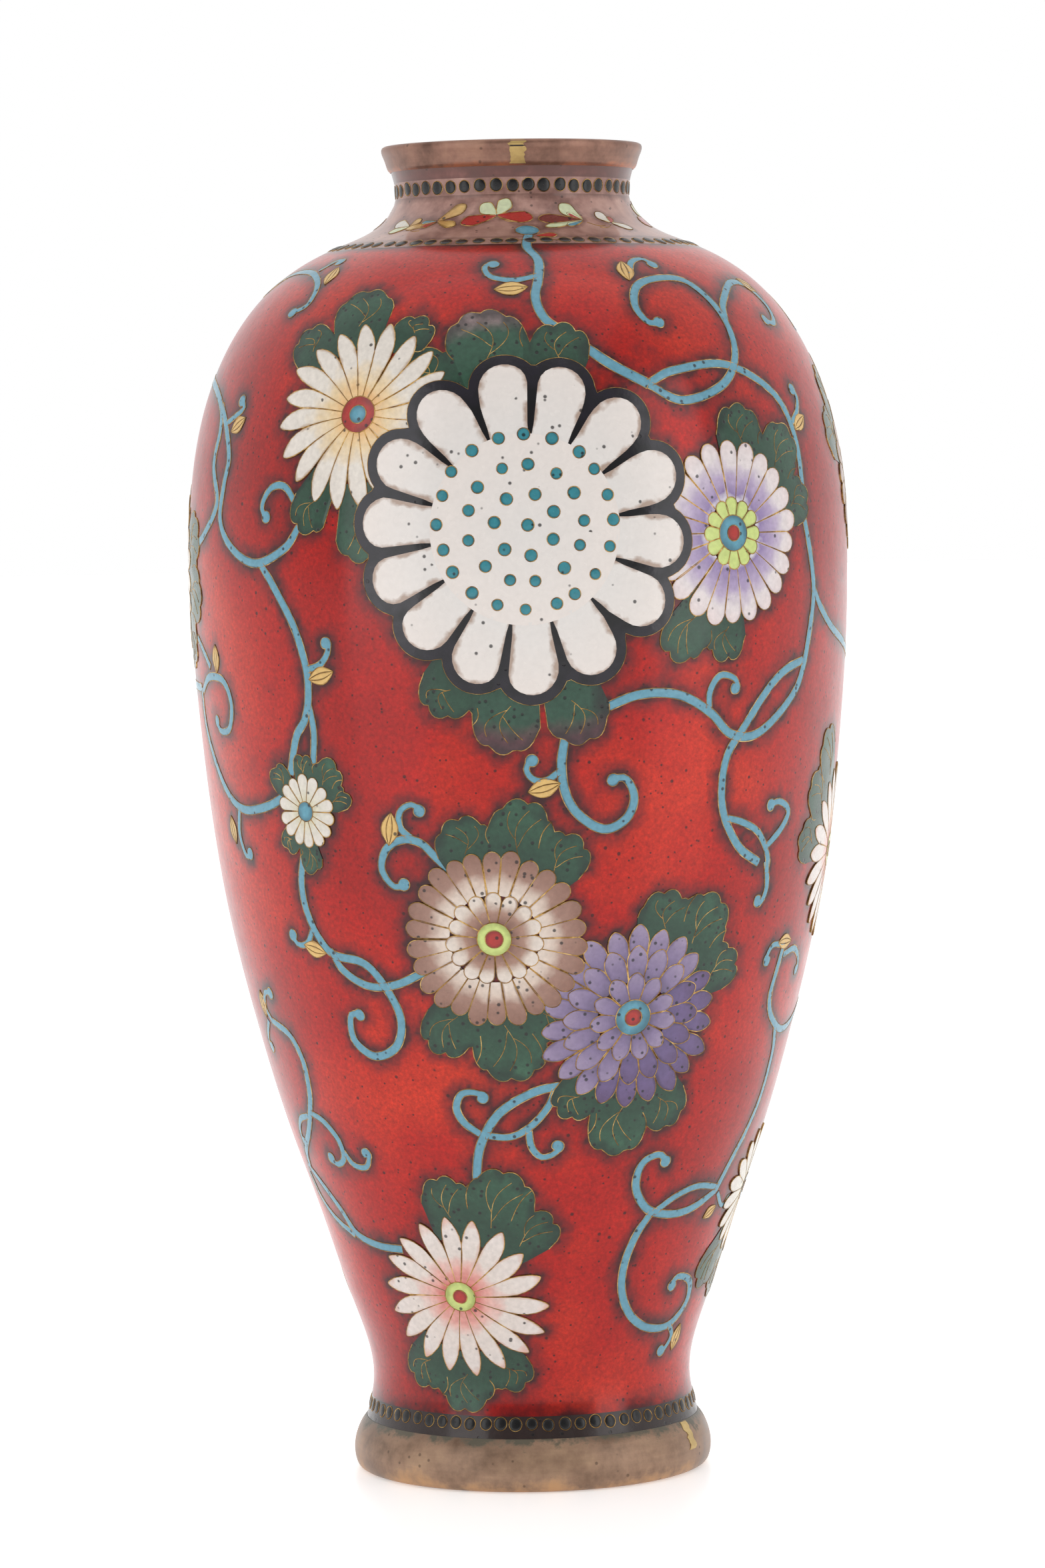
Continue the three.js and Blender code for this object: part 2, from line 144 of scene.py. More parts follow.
SEAT = -0.12            # how deep a cell or wire goes into what it lies on, in mm
TIER = 0.06             # from one tier of cells to the next
RING_STEP = 0.8         # from one ring of petals to the next, in tiers
WIRE = 0.12             # width of the brass wire
WIRE_PROUD = 0.03       # how far it stands out of the enamel
THIN_WIRE = 0.1         # width of the wire of feelers and of the loops round the beads
DAISY_WIRE = 0.08       # width of the wire round the great daisy
VEIN = 0.102            # width of the forks of a leaf's veins
SHARP_ANGLE = 38        # edges of a piece sharper than this stay crisp, in degrees


RING_SEGMENTS = 240     # segments round the metal rings and the rows of beads


def lattice(rows, columns, wrap_rows=False, wrap_columns=False):
    """The quads between neighbours in a lattice of points."""
    i, j = np.meshgrid(np.arange(rows - (not wrap_rows)), np.arange(columns - (not wrap_columns)),
                       indexing="ij")
    k, m = (i + 1) % rows, (j + 1) % columns
    return np.stack([i * columns + j, i * columns + m, k * columns + m, k * columns + j], -1).reshape(-1, 4)


class Mesh:
    """Collects the closed shells of one piece. At each point it keeps two numbers for the materials:
    along, from the root of a cell to its tip, and inside, from its edge (0) to its middle (1)."""

    def __init__(self):
        self.points, self.quads, self.slots, self.values = [], [], [], []
        self.count = 0

    def add(self, points, quads, along, inside, slot):
        shape = points.shape[:-1]
        values = np.stack(np.broadcast_arrays(np.broadcast_to(along, shape),
                                              np.broadcast_to(inside, shape)), -1)
        self.points.append(points.reshape(-1, 3))
        self.values.append(values.reshape(-1, 2))
        self.quads.append(quads + self.count)
        self.slots.append(np.full(len(quads), slot))
        self.count += points.size // 3

    def sweep(self, rings, loop=False, along=0.0, inside=0.0, slot=0):
        """A solid through rings of an even number of points, with flat ends or closed on itself."""
        rows, ring = rings.shape[:2]
        quads = lattice(rows, ring, loop, True)
        if not loop:
            j = np.arange(ring // 2 - 1)
            cap = np.stack([j, j + 1, ring - 2 - j, ring - 1 - j], -1)
            quads = np.concatenate([quads, cap, cap + (rows - 1) * ring])
        self.add(rings, quads, along, inside, slot)

    def cell(self, azimuth, arc, lift, loop=False, along=0.0, inside=0.0, dome=0.03, slot=0):
        """An enamel cell over a grid of places, slightly domed towards its middle."""
        shape = azimuth.shape
        along, inside = np.broadcast_to(along, shape), np.broadcast_to(inside, shape)
        top = on_vase(azimuth, arc, lift + dome * inside)
        base = on_vase(azimuth, arc, SEAT)
        both = [np.concatenate([v, v[:, ::-1]], 1) for v in (along, inside)]
        self.sweep(np.concatenate([top, base[:, ::-1]], 1), loop, *both, slot)

    def wire(self, azimuth, arc, lift, loop=False, width=WIRE):
        """A brass wire on edge along a path on the vase."""
        r = radius_at(arc)
        here = np.arange(len(arc))
        ahead = np.roll(here, -1) if loop else np.minimum(here + 1, len(arc) - 1)
        back = np.roll(here, 1) if loop else np.maximum(here - 1, 0)
        dx, dy = (azimuth[ahead] - azimuth[back]) * r, arc[ahead] - arc[back]
        size = np.maximum(np.hypot(dx, dy), 1e-9)
        nx, ny = -dy / size, dx / size
        rings = []
        top = lift + WIRE_PROUD
        for across, up in ((-0.5, SEAT), (-0.5, lift), (-0.25, top), (0.25, top), (0.5, lift), (0.5, SEAT)):
            rings.append(on_vase(azimuth + nx * across * width / r, arc + ny * across * width, up))
        self.sweep(np.stack(rings, 1), loop)

    def turned(self, section, segments, along=None):
        """A ring turned about Z from a closed outline of radius and height in millimetres."""
        points = around(section[:, :1], circle(segments), section[:, 1:])
        along = np.zeros(len(section)) if along is None else along
        self.add(points, lattice(len(section), segments, True, True), np.asarray(along)[:, None], 1.0, 0)

    def finish(self, name, materials, slot, replaces=()):
        """The piece, riding on the vase in place of the CAD nodes named."""
        points, quads = np.concatenate(self.points), np.concatenate(self.quads)
        data = bpy.data.meshes.new(name)
        data.vertices.add(len(points))
        data.vertices.foreach_set("co", points.astype(np.float32).ravel())
        data.loops.add(quads.size)
        data.loops.foreach_set("vertex_index", quads.astype(np.int32).ravel())
        data.polygons.add(len(quads))
        data.polygons.foreach_set("loop_start", np.arange(0, quads.size, 4, dtype=np.int32))
        data.polygons.foreach_set("material_index", np.concatenate(self.slots).astype(np.int32))
        data.update(calc_edges=True)
        for k, label in enumerate(("along", "inside")):
            values = np.concatenate(self.values)[:, k].astype(np.float32)
            data.attributes.new(label, "FLOAT", "POINT").data.foreach_set("value", values)
        work = bmesh.new()
        work.from_mesh(data)
        bmesh.ops.recalc_face_normals(work, faces=work.faces)
        work.to_mesh(data)
        work.free()
        data.shade_smooth()
        data.set_sharp_from_angle(angle=SHARP_ANGLE * DEG)
        for material in materials:
            data.materials.append(material)
        piece = bpy.data.objects.new(name, data)
        bpy.context.scene.collection.objects.link(piece)
        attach(piece, "root")
        if replaces:
            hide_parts(*replaces)
        return piece


# ------------------------------------------------------------------ materials


def rgb(red, green, blue):
    """A colour given by its 0-255 values, as a linear colour."""
    return tuple(c / 3294.6 if c <= 10.3 else ((c / 255 + 0.055) / 1.055) ** 2.4
                 for c in (red, green, blue)) + (1.0,)


class Nodes:
    """Builds the nodes of one material round its Principled shader."""

    def __init__(self, name, **shader):
        self.material = bpy.data.materials.new(name)
        self.material.use_nodes = True
        self.tree = self.material.node_tree
        self.shader = self.tree.nodes["Principled BSDF"]
        self.place = self.new("ShaderNodeTexCoord").outputs["Object"]
        for socket, value in shader.items():
            self.shader.inputs[socket.replace("_", " ")].default_value = value

    def new(self, kind, inputs=None, **settings):
        node = self.tree.nodes.new(kind)
        for key, value in settings.items():
            setattr(node, key, value)
        for key, value in (inputs or {}).items():
            self.put(node.inputs[key], value)
        return node

    def put(self, socket, value):
        if isinstance(value, bpy.types.NodeSocket):
            self.tree.links.new(value, socket)
        else:
            socket.default_value = value

    def noise(self, scale, detail=2.0, rough=0.5, stretch=None):
        """Noise from 0 to 1, scale features to the metre."""
        place = self.place
        if stretch:
            place = self.new("ShaderNodeVectorMath", {0: place, 1: stretch}, operation="MULTIPLY").outputs[0]
        return self.new("ShaderNodeTexNoise", {"Vector": place, "Scale": scale, "Detail": detail,
                                               "Roughness": rough}).outputs["Fac"]

    def ramp(self, value, stops):
        """A colour ramp through stops of position and colour."""
        node = self.new("ShaderNodeValToRGB", {0: value})
        parts = node.color_ramp.elements
        while len(parts) < len(stops):
            parts.new(0.5)
        while len(parts) > len(stops):
            parts.remove(parts[-1])
        for part, (position, color) in zip(parts, sorted(stops, key=lambda stop: stop[0])):
            part.position = position
            part.color = color
        return node.outputs["Color"]

    def span(self, value, low, high, to_low=0.0, to_high=1.0):
        return self.new("ShaderNodeMapRange", {"Value": value, "From Min": low, "From Max": high,
                                               "To Min": to_low, "To Max": to_high}).outputs["Result"]

    def math(self, operation, a, b):
        return self.new("ShaderNodeMath", {0: a, 1: b}, operation=operation).outputs[0]

    def mix(self, factor, a, b, blend="MIX"):
        node = self.new("ShaderNodeMix", data_type="RGBA", blend_type=blend)
        self.put(node.inputs[0], factor)
        self.put(node.inputs[6], a)
        self.put(node.inputs[7], b)
        return node.outputs[2]

    def shade(self, factor, color, value):
        """The colour times a grey value, by a factor."""
        grey = self.new("ShaderNodeCombineColor", {0: value, 1: value, 2: value}).outputs[0]
        return self.mix(factor, color, grey, "MULTIPLY")

    def value(self, label):
        return self.new("ShaderNodeAttribute", attribute_name=label).outputs["Fac"]

    def sway(self, label, cloud, spread):
        """A value kept at the points, moved up and down by a cloud of noise."""
        return self.math("ADD", self.value(label), self.span(cloud, 0.3, 0.7, -spread, spread))

    def spots(self, color, marks, share, tone):
        """The colour with a share of a tone over the marks."""
        return self.mix(self.math("MULTIPLY", marks, share), color, tone)

    def specks(self, scale, size, amount):
        """1 in small round specks, scale places for them to the metre, on a share of those places."""
        cells = self.new("ShaderNodeTexVoronoi", {"Vector": self.place, "Scale": scale})
        near = self.span(cells.outputs["Distance"], size * 0.6, size, 1.0, 0.0)
        pick = self.new("ShaderNodeSeparateColor", {0: cells.outputs["Color"]}).outputs[0]
        return self.math("MULTIPLY", near, self.math("LESS_THAN", pick, amount))

    def bump(self, height, strength, distance):
        node = self.new("ShaderNodeBump", {"Height": height, "Strength": strength, "Distance": distance})
        self.put(self.shader.inputs["Normal"], node.outputs["Normal"])

    def finish(self, color, roughness=None):
        self.put(self.shader.inputs["Base Color"], color)
        if roughness is not None:
            self.put(self.shader.inputs["Roughness"], roughness)
        return self.material


BLACK = rgb(24, 20, 22)


def enamel(name, stops, edge=None, reach=0.45, mottle=0.16, pits=0.18, rough=0.22):
    """Fired enamel. Stops run from a cell's root to its tip, edge is the tinge along its wires, and
    pits is the share of places with a dark pinhole."""
    n = Nodes(name, Specular_IOR_Level=0.4, Coat_Weight=0.15, Coat_Roughness=0.12)
    cloud = n.noise(420, 3.0)
    color = n.ramp(n.sway("along", cloud, 0.09), stops)
    fine = n.span(n.noise(1500, 2.0), 0.25, 0.75, 1 - mottle, 1 + mottle * 0.5)
    color = n.shade(0.8, color, fine)
    if edge:
        near = n.span(n.sway("inside", cloud, 0.2), 0.0, reach, 0.75, 0.0)
        color = n.mix(near, color, edge)
    holes = n.specks(1050, 0.32, pits)
    color = n.spots(color, holes, 0.85, BLACK)
    n.bump(n.math("SUBTRACT", n.noise(700, 2.0), holes), 0.25, 0.0001)
    return n.finish(color, n.span(cloud, 0.3, 0.7, rough - 0.06, rough + 0.1))


def flat(*color):
    return [(0.0, rgb(*color))]


def blend(*stops):
    return [(position, rgb(*color)) for position, color in stops]


def red_ground():
    """Clear red over bright copper: it glows, with painted shade round the wires and fine dark pinholes."""
    n = Nodes("red_ground", Metallic=0.45, Specular_IOR_Level=0.1, Coat_Weight=0.6, Coat_Roughness=0.16)
    wide = n.noise(34, 3.0, 0.55)
    cloud = n.noise(330, 4.0, 0.6)
    color = n.ramp(wide, blend((0.3, (164, 16, 12)), (0.5, (193, 24, 12)), (0.68, (216, 50, 22))))
    greys = blend((0.3, (150, 150, 150)), (0.55, (215, 215, 215)), (0.75, (255, 255, 255)))
    color = n.mix(0.75, color, n.ramp(n.noise(1900, 3.0, 0.7), greys), "MULTIPLY")
    smoke = n.math("MULTIPLY", n.noise(75, 4.0, 0.65), n.noise(230, 3.0))
    color = n.mix(n.span(smoke, 0.34, 0.48, 0.0, 0.55), color, rgb(110, 22, 26))
    # Painted shade: darker red, then black, close to the wires and the coat's near edges.
    reach = n.math("ADD", n.value("along"), n.span(cloud, 0.25, 0.75, -0.9, 0.9))
    color = n.mix(n.span(reach, 0.2, 2.1, 0.9, 0.0), color, rgb(84, 22, 26))
    color = n.mix(n.span(n.sway("along", cloud, 0.35), 0.1, 0.75, 0.75, 0.0), color, BLACK)
    dots = n.math("MAXIMUM", n.specks(560, 0.17, 0.3), n.specks(1300, 0.26, 0.18))
    color = n.spots(color, dots, 0.8, rgb(40, 12, 14))
    n.bump(n.math("SUBTRACT", n.noise(900, 3.0), dots), 0.18, 0.0001)
    return n.finish(color, n.span(cloud, 0.3, 0.7, 0.32, 0.42))


def brown_ground(name, stops):
    """Brown enamel with a faint shimmer, darker clouds, and painted shade next to wires and edges."""
    n = Nodes(name, Metallic=0.25, Specular_IOR_Level=0.45, Coat_Weight=0.4, Coat_Roughness=0.08)
    cloud = n.noise(260, 4.0, 0.6)
    color = n.ramp(cloud, stops)
    # Painted shade: darker brown close to the wires and the coat's near edges.
    painted_shade = n.span(n.sway("along", cloud, 0.3), 0.1, 1.0, 0.7, 0.0)
    color = n.mix(painted_shade, color, rgb(92, 58, 50))
    dots = n.specks(1200, 0.28, 0.14)
    color = n.spots(color, dots, 0.7, rgb(60, 40, 36))
    n.bump(n.math("SUBTRACT", n.noise(900, 3.0), dots), 0.2, 0.0001)
    return n.finish(color, n.span(cloud, 0.3, 0.7, 0.3, 0.42))


SCRATCHES = (60, 60, 900)   # scale of the fine scratches round a metal ring, along X, Y and Z


def worn_metal(name, stops, edge, patina=None, metal=0.75):
    """Handled metal: a mottled tone with fine scratches round it, patina, and bright lower edges that
    are partly wear and partly a painted glint.
    """
    n = Nodes(name, Metallic=metal, Specular_IOR_Level=0.5)
    cloud = n.noise(150, 5.0, 0.65)
    color = n.ramp(cloud, stops)
    lines = n.noise(1.0, 3.0, 0.6, stretch=SCRATCHES)
    color = n.shade(0.7, color, n.span(lines, 0.3, 0.7, 0.82, 1.1))
    # Bright lower edge: partly wear, partly a painted glint.
    wear_and_glint = n.span(n.sway("along", cloud, 0.3), 0.8, 1.1, 0.0, 0.7)
    color = n.mix(wear_and_glint, color, edge)
    if patina:
        down = n.math("MULTIPLY", n.value("along"), 2.2)
        crust = n.math("SUBTRACT", n.span(n.noise(300, 5.0, 0.7), 0.3, 0.7, -0.1, 0.75), down)
        color = n.mix(n.span(crust, 0.0, 0.3, 0.0, 0.85), color, patina)
    color = n.spots(color, n.specks(700, 0.2, 0.2), 0.55, rgb(58, 42, 32))
    n.bump(n.math("ADD", lines, cloud), 0.12, 0.0002)
    return n.finish(color, n.span(cloud, 0.3, 0.7, 0.28, 0.48))


def brass_wire():
    """Drawn brass, dulled brown in places and bright where it was rubbed."""
    n = Nodes("brass_wire", Metallic=0.85, Specular_IOR_Level=0.5)
    tones = blend((0.3, (96, 66, 36)), (0.5, (172, 132, 72)), (0.7, (222, 186, 120)))
    color = n.ramp(n.noise(900, 3.0, 0.6), tones)
    dull = n.span(n.noise(140, 3.0), 0.42, 0.6, 0.0, 0.55)
    color = n.mix(dull, color, rgb(88, 62, 40))
    return n.finish(color, n.span(n.noise(2000, 2.0), 0.3, 0.7, 0.3, 0.5))


RED = red_ground()
NECK = brown_ground("neck_brown",
                    blend((0.3, (132, 92, 82)), (0.5, (168, 126, 114)), (0.7, (190, 150, 136))))
# The lip is a darker brown than the neck, and darker towards the rim: painted shade under the rim.
SHADED_LIP = brown_ground("lip_shaded_brown", blend((0.3, (84, 44, 40)), (0.5, (112, 64, 58)), (0.7, (138, 88, 80))))
WIRE_METAL = brass_wire()
GREEN = enamel("leaf_green", blend((0.0, (36, 66, 50)), (0.7, (46, 82, 62)), (1.0, (58, 100, 76))),
               rgb(22, 36, 30), pits=0.42, mottle=0.3)
MAUVE = enamel("leaf_mauve", blend((0.35, (44, 76, 60)), (0.75, (100, 62, 68)), (1.0, (112, 76, 80))),
               rgb(34, 26, 30), pits=0.42, mottle=0.3)
ASH = enamel("leaf_ash", blend((0.5, (46, 80, 62)), (0.85, (132, 112, 112)), (1.0, (160, 140, 138))),
             rgb(40, 36, 36), pits=0.42, mottle=0.3)
BLUE = enamel("vine_blue", flat(98, 152, 172), rgb(52, 84, 98), reach=0.3, pits=0.3, mottle=0.2)
GOLD = enamel("bud_gold", blend((0.0, (170, 120, 62)), (1.0, (222, 184, 112))), rgb(120, 84, 44), pits=0.25)
WHITE = enamel("daisy_white", blend((0.0, (221, 216, 212)), (1.0, (226, 217, 211))),
               rgb(150, 118, 96), reach=0.2, pits=0.08, mottle=0.05)
BLACK_ENAMEL = enamel("outline_black", flat(17, 16, 19), rgb(34, 30, 40), reach=0.3, pits=0.1, rough=0.14)
BEAD = enamel("bead_black", flat(10, 9, 11), pits=0.1, rough=0.3)
TEAL = enamel("dot_teal", flat(58, 132, 144), rgb(34, 76, 86), reach=0.35, pits=0.12, mottle=0.2)
SKY = enamel("centre_blue", flat(92, 152, 172), rgb(54, 92, 106), pits=0.2)
SCARLET = enamel("centre_red", flat(172, 48, 42), rgb(110, 30, 28), pits=0.2)
WING = enamel("pale_wing", flat(204, 212, 172), rgb(164, 168, 132), reach=0.3, pits=0.1)
LIME = enamel("lime", flat(198, 212, 128), rgb(150, 158, 84), reach=0.3, pits=0.1)
CREAM = enamel("cream_petal", blend((0.0, (226, 178, 118)), (0.22, (226, 200, 158)), (0.5, (222, 214, 204)),
                                    (1.0, (220, 211, 202))), rgb(180, 156, 134), reach=0.25, pits=0.1)
LILAC = enamel("lilac_petal", blend((0.0, (214, 208, 216)), (0.12, (140, 120, 164)), (0.42, (176, 158, 188)),
                                    (0.68, (220, 210, 210)), (1.0, (222, 206, 204))),
               rgb(196, 180, 184), reach=0.25, pits=0.12)
PALE = enamel("pale_petal", blend((0.0, (206, 198, 168)), (0.4, (214, 208, 194)), (1.0, (220, 212, 204))),
              rgb(190, 180, 164), reach=0.25, pits=0.12)
BROWN_TIP = enamel("brown_tip_petal", blend((0.0, (222, 208, 196)), (0.28, (208, 188, 174)),
                                             (0.52, (158, 122, 108)), (1.0, (136, 98, 84))),
                   rgb(136, 106, 94), reach=0.2, pits=0.25)
BROWN_ROOT = enamel("brown_root_petal", blend((0.0, (126, 88, 76)), (0.4, (164, 128, 112)),
                                               (0.7, (216, 202, 190)), (1.0, (222, 210, 200))),
                    rgb(150, 122, 110), reach=0.2, pits=0.15)
PURPLE = enamel("purple_petal", blend((0.0, (96, 82, 112)), (0.4, (128, 112, 146)), (1.0, (152, 136, 164))),
                rgb(96, 80, 112), reach=0.25, pits=0.35)
DEEP_PURPLE = enamel("deep_purple_petal", blend((0.0, (92, 78, 118)), (0.5, (104, 86, 128)),
                                                 (1.0, (92, 72, 108))), rgb(60, 46, 76), reach=0.3, pits=0.4)
PINK = enamel("pink_petal", blend((0.0, (204, 112, 104)), (0.2, (222, 166, 156)), (0.42, (220, 208, 200)),
                                  (0.85, (222, 212, 206)), (1.0, (214, 172, 158))),
              rgb(206, 176, 164), reach=0.22, pits=0.1)
BROWN_RED = enamel("brown_red", flat(120, 56, 50), rgb(80, 38, 34), pits=0.2)
SOOT = enamel("bead_ground", flat(46, 34, 32), pits=0.4)
# Its orange lower edge is partly rubbed copper and partly a painted glint.
RIM_METAL = worn_metal("rim_metal",
                       blend((0.3, (104, 74, 62)), (0.5, (146, 108, 92)), (0.7, (174, 134, 112))),
                       rgb(200, 118, 78), metal=0.55)
FOOT_METAL = worn_metal("foot_metal",
                        blend((0.3, (108, 84, 66)), (0.5, (150, 120, 98)), (0.7, (178, 146, 118))),
                        rgb(196, 150, 104), patina=rgb(78, 80, 68), metal=0.45)
GILT = worn_metal("gilt_solder",
                  blend((0.3, (158, 128, 76)), (0.5, (196, 166, 104)), (0.7, (214, 188, 130))),
                  rgb(214, 188, 130), metal=0.45)
CRACK = worn_metal("crack", blend((0.3, (34, 24, 18)), (0.6, (58, 42, 30))), rgb(80, 60, 40), metal=0.2)
COPPER_METAL = worn_metal("copper", blend((0.3, (112, 62, 42)), (0.5, (160, 96, 68)), (0.7, (186, 120, 88))),
                          rgb(196, 130, 96), patina=rgb(74, 104, 92))
COUNTER = enamel("counter_blue", flat(104, 146, 158), pits=0.5, mottle=0.3)

# ------------------------------------------------------------------ flowers

MOTIF_MARKS = []


def lift_of(tier):
    return 0.03 + TIER * tier


def outline(wires, azimuth, arc, tier, loop=False, width=WIRE):
    """Lays a wire round a cell and keeps its places for the painted shade round it in the ground."""
    wires.wire(azimuth, arc, lift_of(tier), loop, width)
    MOTIF_MARKS.append(on_vase(azimuth, arc))


def petal(cells, wires, at, angle, low, high, half, tier, slot, point=0.0, bend=0.0):
    """One petal from radius low to high. half gives half its width at a radius, or the width of its
    right and left side. A point of 0 gives a round tip and 1 a sharp one, and bend turns the tip
    aside in degrees."""
    s = np.linspace(0, 1, 11)
    u = np.sin(s * math.pi / 2)
    r = low + (high - low) * u
    wide = half(r)
    wide = wide if wide.ndim == 2 else np.stack([wide, wide], 1)
    cap = (1 - point) * wide[-1].mean() * 1.05 + point * 0.62 * (high - low)
    t = np.clip((r - high + cap) / cap, 0, 1)[:, None]
    wide = wide * ((1 - point) * np.sqrt(1 - t**2) + point * (1 - t**1.7)) + 0.02
    v = np.linspace(-1, 1, 5)
    turn = (angle + bend * u**2)[:, None] * DEG
    across = np.where(v < 0, wide[:, :1], wide[:, 1:]) * v
    x = r[:, None] * np.cos(turn)
    y = r[:, None] * np.sin(turn)
    grid = at(x - across * np.sin(turn), y + across * np.cos(turn))
    inside = (1 - np.abs(v)) * np.minimum(1, (1 - u) * 6)[:, None]
    cells.cell(*grid, lift_of(tier), along=u[:, None], inside=inside, slot=slot)
    sides = [np.concatenate([g[:, 0], g[::-1, -1][1:]]) for g in grid]
    if wires:
        outline(wires, *sides, tier)


def petals(cells, wires, at, count, low, high, tier, slot, point, bend):
    """A full ring of petals that touch along their sides."""
    step = 360 / count

    def half(r):
        return r * math.tan(math.pi / count) * 0.97

    for k in range(count):
        angle = 90 + k * step + rng.uniform(-0.06, 0.06) * step
        tip = high * (1 + rng.uniform(-0.03, 0.03))
        chosen = slot(angle) if callable(slot) else slot
        petal(cells, wires, at, angle, low, tip, half, tier, chosen, point, bend)


def disc(cells, wires, at, x, y, radius, tier, slot, segments=24):
    """A round cell, in a ring of wire if there are wires."""
    turn = circle(segments)
    steps = np.linspace(0.02, 1, max(3, round(radius / 1.5) + 1))
    wide = radius * steps
    grid = at(x + np.cos(turn)[:, None] * wide, y + np.sin(turn)[:, None] * wide)
    cells.cell(*grid, lift_of(tier), loop=True, along=steps, inside=1 - steps if wires else 1.0, slot=slot)
    if wires:
        outline(wires, *at(x + np.cos(turn) * radius, y + np.sin(turn) * radius), tier, loop=True)


def in_frame(name):
    """The CAD node of this name, if there is one."""
    return (name,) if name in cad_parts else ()


def finish_motif(name, cells, wires, materials, slot):
    """The cells and the wires of a motif, the cells in place of the CAD node of its name."""
    cells.finish(f"{name}_cells", materials, slot, in_frame(name))
    wires.finish(f"{name}_wires", [WIRE_METAL], "solder")


FLOWERS = {
    "great_daisy": (1.2, 131.5, 23.3), "cream_mum": (-28.5, 146.9, 13.0), "lilac_mum": (38.6, 130.4, 12.4),
    "small_daisy": (-41.6, 94.1, 5.0), "brown_mum": (-5.6, 77.3, 12.1), "purple_mum": (21.8, 66.1, 12.8),
    "pink_mum": (-21.3, 27.2, 11.9), "right_mum": (83.5, 86, 12.0), "low_right_mum": (83, 39, 9.5),
    "back_great_mum": (176, 122, 19.0), "left_mum": (-96, 126, 12.5), "back_brown_mum": (-158, 74, 12.0),
    "back_cream_mum": (146, 60, 11.5), "high_right_mum": (93, 138, 11.0),
}
PLACES = {name: Place(azimuth, z) for name, (azimuth, z, _) in FLOWERS.items()}


def envelope(turn, lobes):
    """How far the union of round lobes (x, y, radius) reaches from the middle in each direction."""
    reach = np.zeros_like(turn)
    for x, y, radius in lobes:
        far, way = math.hypot(x, y), math.atan2(y, x)
        off = np.angle(np.exp(1j * (turn - way)))
        across = far * np.sin(off)
        hit = (np.abs(across) < radius) & (np.cos(off) > 0)
        out = far * np.cos(off) + np.sqrt(np.maximum(radius**2 - across**2, 0))
        reach = np.where(hit, np.maximum(reach, out), reach)
    return reach


# Rings of teal dots on the great daisy: number, radius, height of the middle, way of the first dot.
DAISY_DOTS = ((20, 11.5, 1.0, 90), (13, 7.7, 0.8, 86), (7, 4.1, 0.6, 75), (1, 0.4, 0.3, 40))


def great_daisy():
    """Fourteen white petals outlined in black round a white disc set with teal dots."""
    at = PLACES["great_daisy"]
    angles = (97, 75, 48, 21, -6, -32, -62, -88, -111, -137, -160, 177, 152, 125)
    reaches = (22.2, 22.2, 22.0, 22.0, 21.8, 21.6, 21.4, 21.8, 21.4, 21.4, 21.8, 22.0, 22.0, 22.0)
    edge, disc_radius, petal_half = 1.35, 12.6, 3.5
    tip = petal_half + edge
    scallops = [((high + edge - tip) * math.cos(a * DEG), (high + edge - tip) * math.sin(a * DEG), tip)
                for a, high in zip(angles, reaches)]
    turn = circle(224)
    far = envelope(turn, scallops)
    black, black_wires = Mesh(), Mesh()
    share = np.linspace(0, 1, 8)
    wide = (disc_radius - 1) + (far[:, None] - disc_radius + 1) * share
    grid = at(np.cos(turn)[:, None] * wide, np.sin(turn)[:, None] * wide)
    black.cell(*grid, lift_of(4), loop=True, along=share, inside=0.6 - 0.6 * share)
    outline(black_wires, *at(np.cos(turn) * far, np.sin(turn) * far), 4, loop=True, width=DAISY_WIRE)
    black.finish("great_daisy_black", [BLACK_ENAMEL], "black_enamel", ("great_daisy_outline",))

    white = Mesh()
    for k, (angle, high) in enumerate(zip(angles, reaches)):
        beside = [angles[(k + side) % len(angles)] for side in (1, -1)]
        gaps = [abs((angle - other + 180) % 360 - 180) / 2 * DEG for other in beside]

        def half(r, gaps=gaps):
            black_gap = np.interp(r, (disc_radius, 13.4, 18), (0.22, 0.42, edge / 2))
            return np.stack([np.minimum(petal_half, r * math.tan(gap) - black_gap) for gap in gaps], 1)

        petal(white, None, at, angle, disc_radius - 0.4, high, half, 4.5, 0)
    disc(white, None, at, 0, 0, disc_radius, 4.5, 0, segments=56)
    white.finish("great_daisy_white", [WHITE], "white_enamel", ("great_daisy_petals",))
    black_wires.finish("great_daisy_wires", [WIRE_METAL], "solder")

    dots, rings = Mesh(), Mesh()
    for count, radius, middle, start in DAISY_DOTS:
        for k in range(count):
            a = (start - k * 360 / count + rng.uniform(-2.5, 2.5)) * DEG
            x, y = radius * math.cos(a) + rng.uniform(-0.2, 0.2), middle + radius * math.sin(a)
            disc(dots, rings, at, x, y, 0.78 + rng.uniform(-0.05, 0.08), 5, 0, segments=18)
    dots.finish("great_daisy_dots", [TEAL], "blue_enamel")
    rings.finish("great_daisy_dot_rings", [WIRE_METAL], "solder")


def purple_side(angle):
    """The lower right of the purple flower is a deeper purple."""
    around_it = (angle + 35 + 180) % 360 - 180
    return 1 if abs(around_it) < 72 else 0


def mum(name, rings, centre, materials, slot="white_enamel", tier=2):
    """A round flower of rings of petals (number, inner and outer radius, material, point, bend), each
    higher than the one outside it, and of discs in its middle with the last of the materials."""
    at = PLACES[name]
    cells, wires = Mesh(), Mesh()
    for k, (count, low, high, which, point, bend) in enumerate(rings):
        petals(cells, wires, at, count, low, high, tier + RING_STEP * k, which, point, bend)
    for k, radius in enumerate(centre):
        which = len(materials) - len(centre) + k
        disc(cells, wires, at, 0, 0, radius, tier + RING_STEP * (len(rings) + k), which)
    finish_motif(name, cells, wires, materials, slot)


